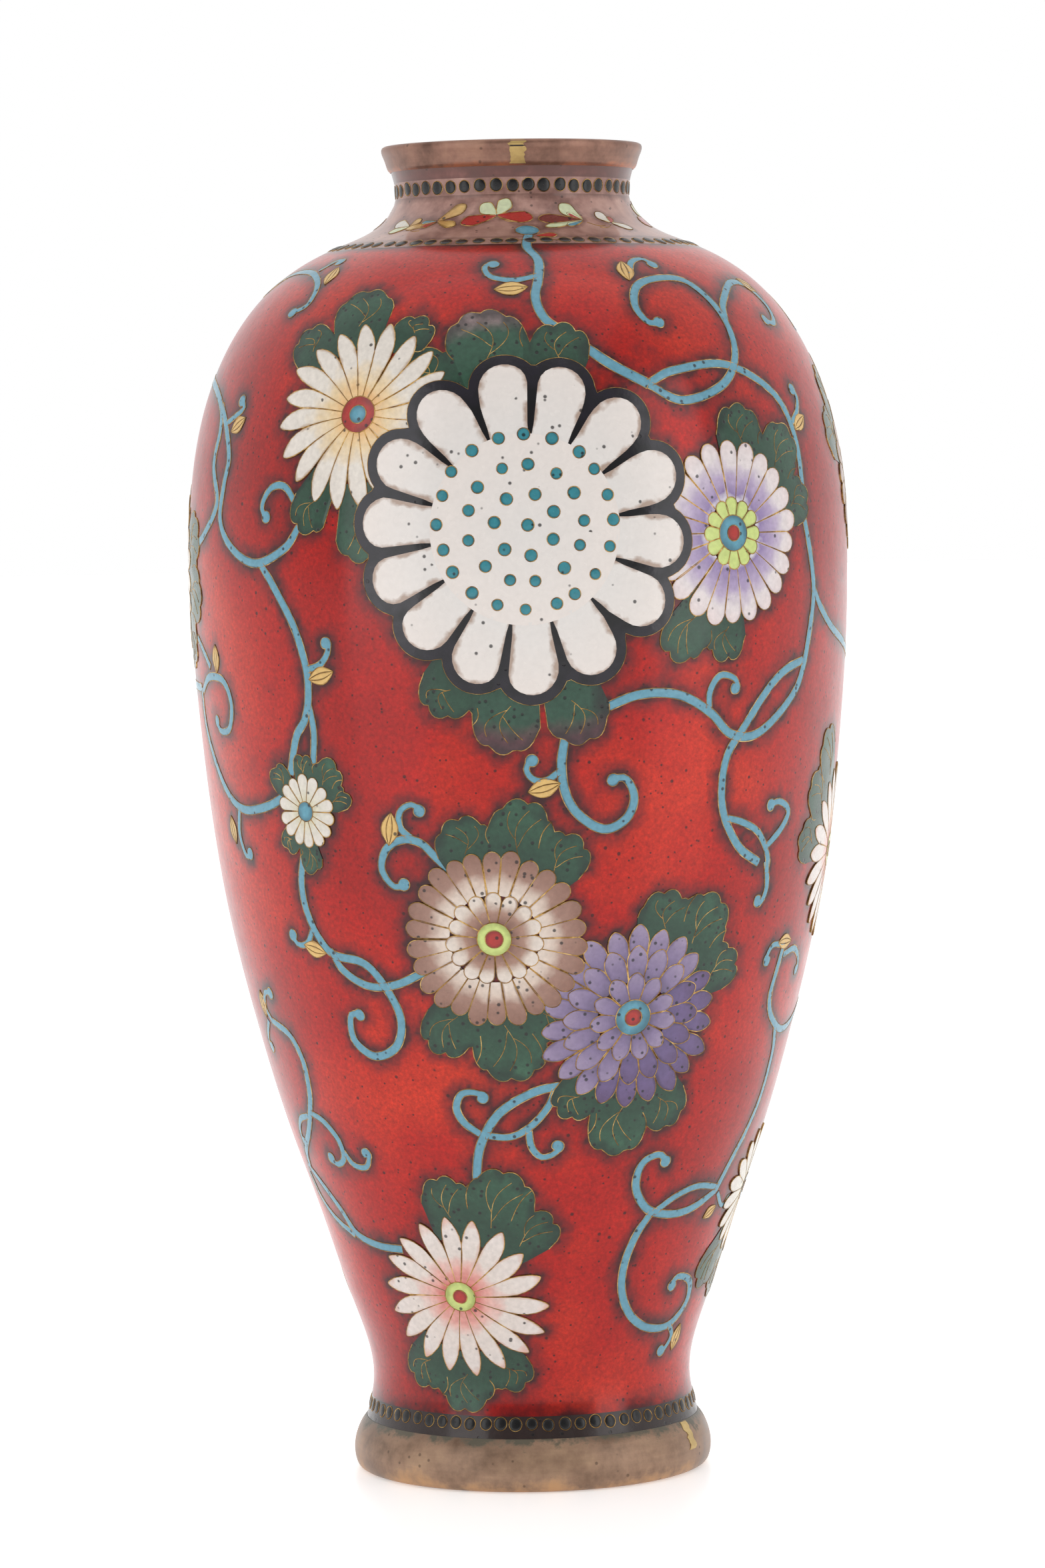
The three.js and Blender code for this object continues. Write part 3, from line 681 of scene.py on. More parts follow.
def make_flowers():
    great_daisy()
    mum("cream_mum", [(20, 2.4, 12.9, 0, 0.62, 7)], [2.5, 1.25], [CREAM, SCARLET, SKY])
    mum("lilac_mum", [(22, 4.2, 12.3, 0, 0.12, 0), (12, 2.2, 4.7, 1, 0.0, 0)], [2.4, 1.05],
        [LILAC, LIME, SKY, SCARLET], "lilac_enamel")
    mum("small_daisy", [(14, 1.3, 5.0, 0, 0.1, 0)], [1.35], [PALE, SKY])
    mum("brown_mum", [(26, 6.0, 12.2, 0, 0.1, 0), (15, 2.2, 6.4, 1, 0.1, 0)], [2.3, 1.2],
        [BROWN_TIP, BROWN_ROOT, LIME, SCARLET], "tan_enamel", tier=3)
    mum("purple_mum", [(22, 7.5, 12.8, purple_side, 0.55, 0), (16, 5.0, 9.8, purple_side, 0.55, 0),
                       (11, 2.2, 6.2, 0, 0.5, 0)], [2.5, 1.2],
        [PURPLE, DEEP_PURPLE, SKY, SCARLET], "purple_enamel")
    mum("pink_mum", [(18, 2.2, 11.9, 0, 0.75, 4)], [2.2, 1.0], [PINK, LIME, SCARLET])
    mum("right_mum", [(20, 2.4, 12.0, 0, 0.6, 0)], [2.4, 1.1], [PINK, LIME, SCARLET])
    mum("low_right_mum", [(18, 2.0, 9.5, 0, 0.5, 0)], [2.0, 0.9], [PALE, SKY, SCARLET])
    mum("back_great_mum", [(16, 9.5, 19.0, 0, 0.15, 0), (16, 6.4, 11.6, 1, 0.1, 0),
                           (12, 2.8, 7.4, 2, 0.1, 0)], [2.9, 1.4], [WHITE, LILAC, BROWN_ROOT, SKY, SCARLET])
    mum("left_mum", [(22, 4.4, 12.5, 0, 0.3, 0), (12, 2.2, 5.0, 1, 0.0, 0)], [2.3, 1.1],
        [CREAM, LIME, SKY, SCARLET])
    mum("back_brown_mum", [(24, 5.8, 12.0, 0, 0.1, 0), (14, 2.2, 6.2, 1, 0.1, 0)], [2.3, 1.1],
        [BROWN_TIP, BROWN_ROOT, LIME, SCARLET], "tan_enamel")
    mum("back_cream_mum", [(20, 2.4, 11.5, 0, 0.6, 5)], [2.3, 1.1], [CREAM, SCARLET, SKY])
    mum("high_right_mum", [(20, 5.4, 11.0, 0, 0.1, 0), (13, 2.1, 5.8, 1, 0.1, 0)], [2.2, 1.1],
        [BROWN_TIP, BROWN_ROOT, LIME, SCARLET], "tan_enamel")


# ------------------------------------------------------------------ leaves

# Round lobes (x, y, radius) of the leaves that show above and below each flower.
LEAVES = {
    "great_daisy_leaf_top": [(-4.5, 24.8, 5.6), (5, 24, 4.2), (-12.5, 20.5, 4.2)],
    "great_daisy_leaf_bottom": [(-10.5, -20.8, 4), (-2.8, -24.8, 4.7), (6.5, -24, 4.4)],
    "cream_mum_leaf_top": [(-9.3, 9.5, 3.7), (-2.5, 14.4, 4.5), (5.6, 11, 3.2)],
    "cream_mum_leaf_bottom": [(-7, -12.6, 3.3), (1, -16, 3.6)],
    "lilac_mum_leaf_top": [(2.8, 13, 4.3), (10.5, 10.7, 4.1), (13.2, 4, 3.4)],
    "lilac_mum_leaf_bottom": [(-8, -13.4, 3.5), (-1.2, -13.6, 3.4)],
    "small_daisy_leaf_top": [(0.2, 6, 1.8), (4.2, 4.8, 2.5), (6, 1.8, 1.8), (-4.4, 4.2, 2.1)],
    "small_daisy_leaf_bottom": [(-3.4, -3.9, 1.9), (0, -6.5, 2)],
    "brown_mum_leaf_top": [(-3.5, 12.6, 4), (4, 14.6, 4.2), (9.4, 10.8, 3.6)],
    "brown_mum_leaf_bottom": [(-6.6, -12.6, 4), (1.5, -15, 5.1), (7, -11.5, 3.1)],
    "purple_mum_leaf_top": [(3.8, 13.2, 4.2), (10, 12.6, 4.2), (13.3, 6.2, 3.4)],
    "purple_mum_leaf_bottom": [(-6.8, -11, 3.4), (-0.6, -15.4, 4.4), (5.6, -12.6, 4)],
    "pink_mum_leaf_top": [(0, 14.2, 3.8), (7.6, 14.6, 4.6), (11.6, 10, 3.3)],
    "pink_mum_leaf_bottom": [(-7, -10.8, 3.6), (-1, -13, 4.2), (5.4, -11, 3.2)],
    "right_mum_leaf_top": [(-11.5, 8.5, 3.7), (-8.5, 14, 3.7), (-13.5, 2, 3.2)],
    "back_great_mum_leaf_top": [(-8, 19.5, 4.4), (0.5, 22, 5), (9, 19, 4.2)],
    "back_great_mum_leaf_bottom": [(-5.5, -20, 4.4), (3, -21.5, 4.6)],
    "left_mum_leaf_side": [(14.5, 4, 4.2), (15.2, -3.2, 4.2), (11.5, -9.5, 3.8)],
    "low_right_mum_leaf_bottom": [(-7.5, -10.5, 3.4), (-1.5, -12.4, 3.6)],
    "high_right_mum_leaf_top": [(-12, 5.5, 3.8), (-8, 11.5, 3.8), (0.5, 14, 4)],
    "back_brown_mum_leaf_bottom": [(-6, -13, 4), (2, -15, 4.6)],
}
# Lobes with a coloured tip, by leaf and place in its list.
TINTED = {
    ("great_daisy_leaf_top", 0): 1, ("great_daisy_leaf_bottom", 1): 2, ("great_daisy_leaf_bottom", 2): 2,
}


def leaf(name, lobes):
    """A lobed leaf fanning out from under its flower, with scalloped edges and forked veins."""
    flower = name.split("_leaf")[0]
    at, under = PLACES[flower], FLOWERS[flower][2]
    cells, wires = Mesh(), Mesh()
    ways = [math.atan2(y, x) for x, y, _ in lobes]
    middle = math.atan2(sum(math.sin(w) for w in ways), sum(math.cos(w) for w in ways))
    spans = [(float(np.angle(np.exp(1j * (w - middle)))), math.asin(min(0.98, radius / math.hypot(x, y))))
             for w, (x, y, radius) in zip(ways, lobes)]
    low, high = min(w - s for w, s in spans), max(w + s for w, s in spans)
    far = max(math.hypot(x, y) + radius for x, y, radius in lobes)
    count = max(24, int((high - low) * far / 0.55))
    turn = middle + np.linspace(low + 0.004, high - 0.004, count)
    reach = envelope(turn, lobes)
    root = under * 0.72
    length = np.concatenate([[0], np.cumsum(np.abs(np.diff(turn)) * far)])
    scallop = np.abs(np.sin(length * math.pi / 3.4)) ** 0.6
    reach = np.maximum(reach + 0.85 * (scallop - 0.75), root + 0.2)
    share = np.linspace(0, 1, max(5, int((far - root) / 1.4)))
    wide = root + (reach[:, None] - root) * share
    grid = at(np.cos(turn)[:, None] * wide, np.sin(turn)[:, None] * wide)
    ends = np.minimum(1, 8 * np.minimum(np.linspace(0, 1, count), np.linspace(1, 0, count)))[:, None]
    nearest = np.argmin([np.abs(np.angle(np.exp(1j * (turn - w)))) for w in ways], axis=0)
    along = np.clip((wide - under) / (far - under), 0, 1)
    inside = np.clip((1 - share) * 2.2, 0, 1) * ends
    starts = np.flatnonzero(np.diff(nearest)) + 1
    for rows in np.split(np.arange(count), starts):
        rows = rows if rows[-1] == count - 1 else np.append(rows, rows[-1] + 1)
        tint = TINTED.get((name, int(nearest[rows[0]])), 0)
        cells.cell(grid[0][rows], grid[1][rows], lift_of(1), along=along[rows], inside=inside[rows],
                   slot=tint, dome=0.02)
    outline(wires, grid[0][:, -1], grid[1][:, -1], 1)
    vein_lift = lift_of(1) + 0.015
    for k in starts[reach[starts] > under + 1]:
        r = np.linspace(reach[k], under + 0.3 * (reach[k] - under), 9)
        way = turn[k] + 0.5 / far * np.sin(np.linspace(0, math.pi, 9))
        wires.wire(*at(r * np.cos(way), r * np.sin(way)), vein_lift)
    for (x, y, radius), way in zip(lobes, ways):
        base, tip = max(under, math.hypot(x, y) - radius), math.hypot(x, y) + radius * 0.7
        lean = 1 if math.cos(way) > 0 else -1
        for side, begin, spread in ((0, 0.0, 0.0), (-1, 0.12, 1.0), (1, 0.3, 1.05)):
            t = np.linspace(begin, 1 if side == 0 else 0.9, 12)
            r = base + (tip - base) * t
            fork = side * (t - begin) ** 0.8 * (1 - 0.45 * (t - begin)) * spread
            off = (fork + 0.3 * lean * np.sin(t * math.pi) - 0.1 * lean) * radius / tip
            wires.wire(*at(r * np.cos(way + off), r * np.sin(way + off)), vein_lift, width=VEIN)
    finish_motif(name, cells, wires, [GREEN, ASH, MAUVE], "green_enamel")


# ------------------------------------------------------------------ vines

# Strokes of each vine: the width, how the stroke ends, and its points of (azimuth, height).
PLAIN, BULB = False, True
VINES = {
    "vine_upper_right": (
        (1.5, PLAIN, (12, 156), (17.7, 153), (24.4, 150.3)),
        (1.2, PLAIN, (24.4, 150.4), (30.3, 152.1), (42.6, 152.8), (53.7, 149), (57.6, 143.4), (58, 136)),
        (1.2, BULB, (24.4, 150.2), (31, 148.1), (40.8, 150.3), (46.3, 154.7), (47, 160), (42.9, 164),
         (36, 164.6), (28.5, 163.6), (25.7, 161), (27.3, 158.6), (31, 158.6)),
        (1.0, BULB, (28, 165.2), (30.8, 166.8), (35, 167.2), (37.2, 166)),
        (1.1, BULB, (47.4, 158.6), (50, 161.3), (58.6, 164), (65.9, 163.8), (68.9, 161), (66, 158.6),
         (61.4, 159.2)),
        (1.0, BULB, (57.6, 145), (60.5, 146.6), (61.8, 148.6), (59.9, 150)),
    ),
    "vine_right": (
        (1.25, PLAIN, (57.9, 132), (59.7, 127), (60.8, 122), (59.4, 116.6), (57.4, 111.5), (54.3, 108.1),
         (45.6, 103.6), (39, 103.6), (34.1, 106.7), (27.7, 109.2), (20.3, 109.4), (13, 107.4)),
        (1.25, PLAIN, (57.4, 113), (51.8, 111.7), (47.2, 109.2), (42, 104.6), (38.4, 101), (37.4, 96.8),
         (38.4, 92.6), (42.5, 88.3), (48.2, 85.9)),
        (1.0, PLAIN, (38.8, 92.4), (43, 91.6), (47.4, 90), (50.6, 86.8), (50.9, 84.4)),
        (1.1, BULB, (49.6, 87.8), (54.3, 90.4), (56, 92.6), (52.8, 94), (49.2, 93.4)),
        (1.1, BULB, (50.4, 86), (51.5, 82.6), (50.3, 80.5), (48.2, 81)),
        (1.0, BULB, (33.9, 107), (34, 109.6), (36.2, 111.6), (39.6, 110.8), (39, 109)),
        (1.2, PLAIN, (60.8, 122.6), (64, 119.8), (70, 116.9), (80, 114.5)),
    ),
    "vine_middle": (
        (1.25, BULB, (7.7, 105), (6.8, 100.3), (7.8, 96), (10.6, 93.2), (14.6, 91.7), (18.4, 93),
         (19.8, 95.8), (18, 98.4), (14.8, 98)),
        (1.0, BULB, (6.6, 99.6), (4, 98.3), (1.7, 98.7), (0.8, 100.2), (2.6, 101.6)),
    ),
    "vine_left": (
        (1.2, PLAIN, (-39.6, 132.2), (-42.9, 129.3), (-50.2, 127.3), (-57.6, 129.3), (-62, 133),
         (-61.2, 138), (-60.4, 141.6), (-63.6, 145.8), (-68, 148.6)),
        (1.2, PLAIN, (-88, 152.6), (-76, 151), (-68.6, 148.6), (-66, 145.4), (-66.5, 140.5), (-63.6, 135.4),
         (-69.1, 131.3), (-76, 129)),
        (1.0, BULB, (-64, 146), (-60.8, 147), (-58, 148.2), (-60.2, 149.6)),
        (1.0, BULB, (-40, 134.8), (-43.1, 137.5), (-46.6, 137.3), (-48.7, 134.8), (-46.8, 132.9)),
    ),
    "vine_left_stem": (
        (1.25, PLAIN, (-49, 127.2), (-45.8, 124.3), (-41.3, 119), (-39, 113.6), (-38.8, 109.8),
         (-39.9, 106.6), (-42.4, 104), (-44.6, 99)),
        (1.1, PLAIN, (-38.8, 108.6), (-38.2, 104.5), (-39.3, 99)),
        (1.1, BULB, (-38.6, 113.2), (-35.8, 113.9), (-34, 115.8), (-35, 117.4)),
    ),
    "vine_far_left": (
        (1.0, PLAIN, (-76, 117), (-72, 115), (-68.8, 113)),
        (1.1, BULB, (-75, 109.6), (-70, 111.6), (-63.4, 111.3), (-60.7, 108.2), (-62.4, 104.8),
         (-66.6, 104.4), (-68.2, 106.4)),
        (1.25, PLAIN, (-76, 110), (-75.6, 105), (-72, 100.4), (-66, 95.6), (-59.8, 93.8), (-52, 94.5),
         (-46.6, 96)),
        (1.0, BULB, (-62, 94), (-63.4, 90.4), (-61.8, 87.4), (-59.2, 88.2)),
    ),
    "vine_lower_left": (
        (1.2, BULB, (-43.6, 88), (-45, 84), (-44.6, 80.4), (-42.6, 77), (-39.3, 74.7), (-33.1, 73.9),
         (-29.6, 71.9), (-26.2, 67.6), (-26.1, 64.4), (-28.5, 61.9), (-33.6, 60.9), (-38, 63),
         (-37.6, 66.4), (-34.2, 66.4)),
        (1.15, PLAIN, (-40, 75.4), (-37.6, 72.6), (-32, 70.6), (-25.4, 71), (-17.6, 73.4)),
        (1.0, BULB, (-43.8, 78), (-46, 76), (-49, 75.9), (-50.2, 77.8)),
    ),
    "vine_centre_left": (
        (1.1, BULB, (-12.4, 85.8), (-15.7, 88.3), (-18.4, 90.2), (-21.8, 90.6), (-25, 89.3), (-26.2, 86.6),
         (-24, 84.3), (-21, 84.9)),
        (1.0, BULB, (-19.6, 90.6), (-22, 92.2), (-21.8, 94.4), (-19.4, 95.3), (-17.6, 93.8)),
    ),
    "vine_lower_middle": (
        (1.25, PLAIN, (9, 57.2), (1.5, 56.2), (-6.2, 53.3), (-10.8, 49), (-12.4, 45), (-12.6, 41)),
        (1.0, PLAIN, (6.4, 57), (4.4, 54), (0.6, 51.4), (-4, 50), (-9.6, 50.2)),
        (1.1, BULB, (-10.8, 50.4), (-14.3, 52), (-15.7, 54), (-14.2, 56), (-10.6, 56.1), (-9, 54.8)),
        (1.0, BULB, (0.2, 51.2), (0.8, 48.6), (3.2, 47.1), (6.6, 47.8), (6.8, 49.4)),
    ),
    "vine_low_left": (
        (1.2, PLAIN, (-67, 64.4), (-59.6, 62.7), (-56.6, 59.4), (-57, 55.6), (-59, 52.6), (-64, 48.9),
         (-70.9, 45.7), (-73, 43)),
        (1.0, BULB, (-66.6, 64.2), (-68.6, 66), (-66.6, 68.2), (-62.6, 68.2)),
        (1.0, BULB, (-69, 64.2), (-73.1, 61.3), (-71, 59.8)),
        (1.2, PLAIN, (-74, 43.6), (-67.3, 41.2), (-61, 38.2), (-56, 34.9), (-47, 33.6), (-38, 33.4)),
        (1.0, PLAIN, (-75.8, 42.4), (-73, 39), (-66, 36.4), (-57, 34.6)),
        (1.1, BULB, (-59.7, 51.8), (-54.7, 50.8), (-50.8, 48.4), (-50.8, 45.8), (-54.6, 44.8),
         (-57.2, 46.2)),
        (1.0, BULB, (-50.2, 47), (-47.6, 45.1), (-43.4, 44.9), (-41.5, 46.4), (-43.2, 47.4)),
        (1.0, BULB, (-61.6, 51.2), (-67, 50.4), (-70.3, 48.2), (-68.8, 46.4)),
    ),
    "vine_low_right": (
        (1.0, BULB, (61, 74), (57, 74.2), (55.3, 72.8), (56, 71.4)),
        (1.0, BULB, (62, 72.6), (67.2, 73.1), (71.5, 71.2), (71, 69.2)),
        (1.1, PLAIN, (61.4, 74.4), (60.4, 70.6), (59.7, 67), (62.3, 64.1), (69.6, 61.8), (77.6, 62.3),
         (87, 64.6)),
        (1.2, PLAIN, (66, 62.4), (68.3, 58.6), (68.2, 52.9), (65.4, 48.4), (61, 44), (57.4, 39.9)),
        (1.0, PLAIN, (58, 40.5), (48.6, 41.2), (41, 40.2), (34.6, 38.2)),
        (1.2, BULB, (58, 40.1), (48.4, 38.1), (40.4, 37.7), (32.4, 38.8), (27.8, 42), (28.4, 45.4),
         (33, 46.5), (36, 44.8)),
        (1.2, BULB, (34, 38.4), (30.2, 35.2), (27.8, 31), (28.6, 26.9), (33.6, 23.4), (42, 21.4),
         (52, 21.4), (58.6, 24), (57, 27.2), (49.6, 28.3), (47.4, 26.4)),
        (1.0, BULB, (52, 21.4), (55.4, 19.6), (53, 17.9), (49, 17.6)),
        (0.9, BULB, (59, 39.6), (64, 37.5), (68.8, 38.4)),
    ),
    "vine_back_right": (
        (1.2, BULB, (106, 139), (112, 144.4), (122, 148.4), (133, 149), (142, 145), (145, 137),
         (141.6, 130), (134.6, 128.6), (131, 132)),
        (1.1, BULB, (131, 149), (138, 152.6), (146, 157.6), (154, 158.8), (158, 155.4), (154, 152.6)),
        (1.1, BULB, (84, 158), (90, 162.6), (100, 164.4), (108, 162), (106, 158.4)),
        (1.2, BULB, (80, 114.5), (92, 112), (104, 106), (112, 98.4), (122, 94.4), (132, 97), (134, 103),
         (128, 105)),
        (1.2, PLAIN, (112, 98.6), (118, 88), (126, 78), (134, 70)),
        (1.1, BULB, (138, 48), (130, 40), (118, 37), (110, 41), (112, 46)),
        (1.1, BULB, (130, 40), (136, 32), (146, 26), (156, 26), (160, 31), (154, 34)),
    ),
    "vine_back_left": (
        (1.2, BULB, (-149, 84), (-141, 91), (-134.6, 98), (-133, 105.6), (-138, 111.4), (-145, 110.6),
         (-145, 105.6)),
        (1.2, PLAIN, (-88, 152.6), (-100, 151), (-110, 146), (-118, 139)),
        (1.2, BULB, (-100, 151), (-108, 157.6), (-119, 160.6), (-130, 158), (-131, 152.6), (-124, 152)),
        (1.2, PLAIN, (-134, 99), (-122, 97), (-110, 100.6), (-102, 107), (-92, 110), (-76, 110)),
        (1.1, BULB, (-110, 100.6), (-108, 92), (-112, 85), (-120, 84), (-122, 89)),
        (1.2, BULB, (-160, 62), (-152, 52), (-140, 46), (-126, 46), (-120, 52), (-126, 56.6), (-132, 53)),
        (1.1, BULB, (-140, 46), (-130, 38), (-116, 33), (-104, 34), (-100, 40), (-108, 42)),
        (1.0, BULB, (-116, 33), (-108, 25), (-96, 22), (-88, 26), (-93, 30)),
        (1.2, BULB, (176, 141.6), (178, 150), (-174, 156), (-164, 157), (-160, 151), (-166, 148)),
    ),
    "vine_crown": (
        (1.3, PLAIN, (6, 171.4), (3.9, 169.2), (6.2, 167.2), (5.6, 164.6), (4.5, 162), (6, 159.2),
         (9.4, 157.4)),
        (1.0, BULB, (5.6, 165), (0, 164.4), (-5.4, 165), (-6.8, 166.4), (-3.4, 166.7)),
        (1.0, BULB, (-86, 163.8), (-76, 166.3), (-62, 166.5), (-52.4, 164.8), (-50, 162), (-55, 160.6)),
        (0.9, BULB, (-58, 166.6), (-54.6, 168), (-51.6, 167.4)),
    ),
}
# Gold buds: azimuth, height, the way they face in degrees, and size.
BUDS = [
    (-0.6, 163.3, -85, 1.15), (27.4, 165.6, 172, 1.1), (67, 163.8, 50, 1), (60.3, 145, -62, 1),
    (3.8, 97.4, -75, 1.15), (-35.8, 112.4, -75, 1.1), (-58.8, 145.9, -60, 1), (-65.7, 114.2, 0, 1),
    (-66, 90.8, 190, 1), (-44.1, 75.3, -105, 1.05), (-24, 92, 172, 1.15), (-69.6, 66.5, 180, 1),
    (61.6, 74.4, 90, 1), (57.6, 37, -60, 0.8), (58.6, 19.2, -10, 1), (-49.7, 165.8, 10, 1),
    (110, 161, -40, 1), (131, 149.8, 120, 1), (104, 106.4, 30, 1), (130, 38.6, -120, 1),
    (-131, 156, 160, 1), (-110, 101.6, 80, 1), (-140, 45, -100, 1), (-117, 32, 250, 1),
    (-160, 154.6, 30, 1),
]
BUD_SLICES = (-1.05, -0.3, 0.45, 1.1)
BUD_HALF = 1.95
LEAD = 0.85             # radius of the bulb at the end of a curl


def smooth_path(points, step=0.6):
    """Azimuths and lengths up the outline, evenly along a Catmull-Rom curve through the points."""
    places = np.array([(azimuth * DEG, arc_at(z)) for azimuth, z in points])
    for k in range(1, len(places)):
        places[k, 0] += 2 * math.pi * round((places[k - 1, 0] - places[k, 0]) / (2 * math.pi))
    ends = np.concatenate([[2 * places[0] - places[1]], places, [2 * places[-1] - places[-2]]])
    t = np.linspace(0, 1, 24, endpoint=False)[:, None]
    parts = []
    for a, b, c, d in zip(ends, ends[1:], ends[2:], ends[3:]):
        parts.append(0.5 * (2 * b + (c - a) * t + (2 * a - 5 * b + 4 * c - d) * t**2
                            + (3 * b - a - 3 * c + d) * t**3))
    path = np.concatenate(parts + [places[-1:]])
    length = np.concatenate([[0], np.cumsum(np.hypot(np.diff(path[:, 0]) * radius_at(path[:-1, 1]),
                                                     np.diff(path[:, 1])))])
    total = length[-1]
    body = np.linspace(0, total - 2 * LEAD, max(6, int(total / step)))
    bulb = total - LEAD + LEAD * np.sin(np.linspace(-0.5, 0.5, 10)[1:] * math.pi)
    at = np.concatenate([body, bulb])
    return np.interp(at, length, path[:, 0]), np.interp(at, length, path[:, 1]), at, total


def stroke(cells, wires, points, width, bulb):
    """One stroke of a vine: a blue cell between two wires, fine at its root and round at its end."""
    azimuth, arc, s, total = smooth_path(points)
    half = width / 2 * (0.86 + 0.14 * np.minimum(1, s / 3))
    if bulb:
        left = total - s
        half = half * np.interp(left, (0, 2, 7), (0.72, 0.78, 1))
        ball = np.sqrt(np.maximum(0, LEAD**2 - (left - LEAD)**2))
        half = np.where(left < LEAD, ball, np.maximum(half, ball)) + 0.01
    r = radius_at(arc)
    dx, dy = np.gradient(azimuth) * r, np.gradient(arc)
    size = np.maximum(np.hypot(dx, dy), 1e-9)
    v = np.linspace(-1, 1, 5)
    across = half[:, None] * v
    a = azimuth[:, None] - (dy / size / r)[:, None] * across
    b = arc[:, None] + (dx / size)[:, None] * across
    cells.cell(a, b, lift_of(0), inside=np.broadcast_to(1 - np.abs(v), a.shape), dome=0.04)
    outline(wires, np.concatenate([a[:, 0], a[::-1, -1]]), np.concatenate([b[:, 0], b[::-1, -1]]), 0)


def vines():
    for name, strokes in VINES.items():
        cells, wires = Mesh(), Mesh()
        for width, bulb, *points in strokes:
            stroke(cells, wires, points, width, bulb)
        finish_motif(name, cells, wires, [BLUE], "blue_enamel")


def buds():
    """Each bud is a gold lens in three slices that meet at its two ends."""
    cells, wires = Mesh(), Mesh()
    s = np.linspace(-1, 1, 13)
    swell = 0.03 + 0.97 * np.cos(s * math.pi / 2)
    v = np.linspace(0, 1, 4)
    for azimuth, z, way, size in BUDS:
        at = Place(azimuth, z)
        cos, sin = size * math.cos(way * DEG), size * math.sin(way * DEG)
        for low, high in zip(BUD_SLICES, BUD_SLICES[1:]):
            out = swell[:, None] * (low + (high - low) * v)
            side = BUD_HALF * s[:, None]
            grid = at(out * cos - side * sin, out * sin + side * cos)
            cells.cell(*grid, lift_of(0.4), along=0.75 + 0.2 * v, inside=1 - np.abs(2 * v - 1))
            sides = [np.concatenate([g[:, 0], g[::-1, -1][1:-1]]) for g in grid]
            outline(wires, *sides, 0.4, loop=True)
    finish_motif("bud", cells, wires, [GOLD], "tan_enamel")


# ------------------------------------------------------------------ neck

# Butterflies on the neck: azimuth and height of the body, then its wings by the way they point,
# their length, half their width and their colour.
NECK_WINGS = [
    (-6.8, 173.7, [(140, 3.0, 1.25, 0), (62, 3.1, 1.15, 0), (199, 5.2, 1.25, 1), (-9, 5.0, 1.25, 1)]),
    (30.5, 172.9, [(128, 3.9, 1.3, 0), (178, 6.4, 1.15, 3), (140, 2.4, 0.45, 1), (196, 6.6, 0.6, 0),
                   (206, 3.4, 0.5, 2)]),
    (44, 172.6, [(120, 2.6, 1.1, 4), (-30, 3.4, 0.9, 4), (60, 1.5, 0.6, 1)]),
    (-33.4, 173.1, [(40, 4.4, 1.0, 5), (200, 5.0, 0.7, 5), (-22, 3.6, 0.85, 5), (212, 2.4, 0.7, 1),
                    (188, 2.6, 0.5, 2)]),
    (-46.5, 172.5, [(165, 3.9, 1.0, 4), (205, 3.4, 0.9, 0), (60, 2.0, 0.7, 5)]),
    (7.6, 170.6, [(10, 3.0, 0.9, 1)]),
]


def neck_butterflies():
    """Butterflies round the neck. The ones in front are repeated behind."""
    cells, wires = Mesh(), Mesh()
    behind = [(azimuth + 180, z, wings) for azimuth, z, wings in NECK_WINGS[:5]]
    beside = [(azimuth + shift, z, wings) for shift in (92, -92) for azimuth, z, wings in NECK_WINGS[:1]]
    for azimuth, z, wings in NECK_WINGS + behind + beside:
        at = Place(azimuth, z)
        for way, length, wide, slot in wings:

            def half(r, length=length, wide=wide):
                return wide * np.minimum(1, 1.25 * (r / length) ** 0.7)

            petal(cells, wires, at, way, 0.15, length, half, 0.3, slot, 0.3)
        feeler = np.linspace(0, 1, 9)
        for side in (-1, 1):
            path = at(side * (0.4 + 2.6 * feeler), -0.5 - 1.0 * np.sin(feeler * 2.2))
            wires.wire(*path, lift_of(0), width=THIN_WIRE)
    disc(cells, wires, Place(5.2, 171.4), 0, 0, 1.65, 0.6, 2)
    finish_motif("neck_butterfly", cells, wires, [WING, SCARLET, SKY, BROWN_RED, PALE, GOLD], "tan_enamel")


# ------------------------------------------------------------------ coats and rows of beads


FAR = 9.0               # more than any distance to a wire that the materials tell apart, in mm


def section(up, down, outer, inner):
    """A turned coat's outline in section, up it at one lift and down it at another."""
    rows = np.concatenate([on_vase(0, up, outer), on_vase(0, down, inner)]) / MM
    return np.stack([-rows[:, 1], rows[:, 2]], 1)


def coat(name, material, slot, low, high, replaces, outer=0.0, inner=-ENAMEL, step=0.83, segments=320,
         near=(), behind=6):
    """A turned coat of enamel between two lengths up the outline. Its along value is the distance in
    millimetres to the nearest wire or to an edge in near, where the ground materials paint shade."""
    up = np.linspace(low, high, max(4, int((high - low) / step) + 1))
    down = np.linspace(high, low, max(4, len(up) // behind))
    mesh = Mesh()
    mesh.turned(section(up, down, outer, inner), segments)
    points = mesh.points[0]
    gap = np.full(len(points), FAR)
    shown = len(up) * segments
    for edge, weight in near:
        gap[:shown] = np.minimum(gap[:shown], np.repeat(np.abs(up - edge), segments) * weight)
    marks = np.concatenate(MOTIF_MARKS)[::2]
    tree = kdtree.KDTree(len(marks))
    for k, mark in enumerate(marks):
        tree.insert(mark, k)
    tree.balance()
    for k in range(shown):
        gap[k] = min(gap[k], tree.find(points[k])[2] / MM)
    mesh.values[0][:, 0] = gap
    mesh.finish(name, [material], slot, replaces)


def edges(row):
    z, width = BEAD_ROWS[row][:2]
    middle = float(arc_at(z))
    return middle - width / 2, middle + width / 2


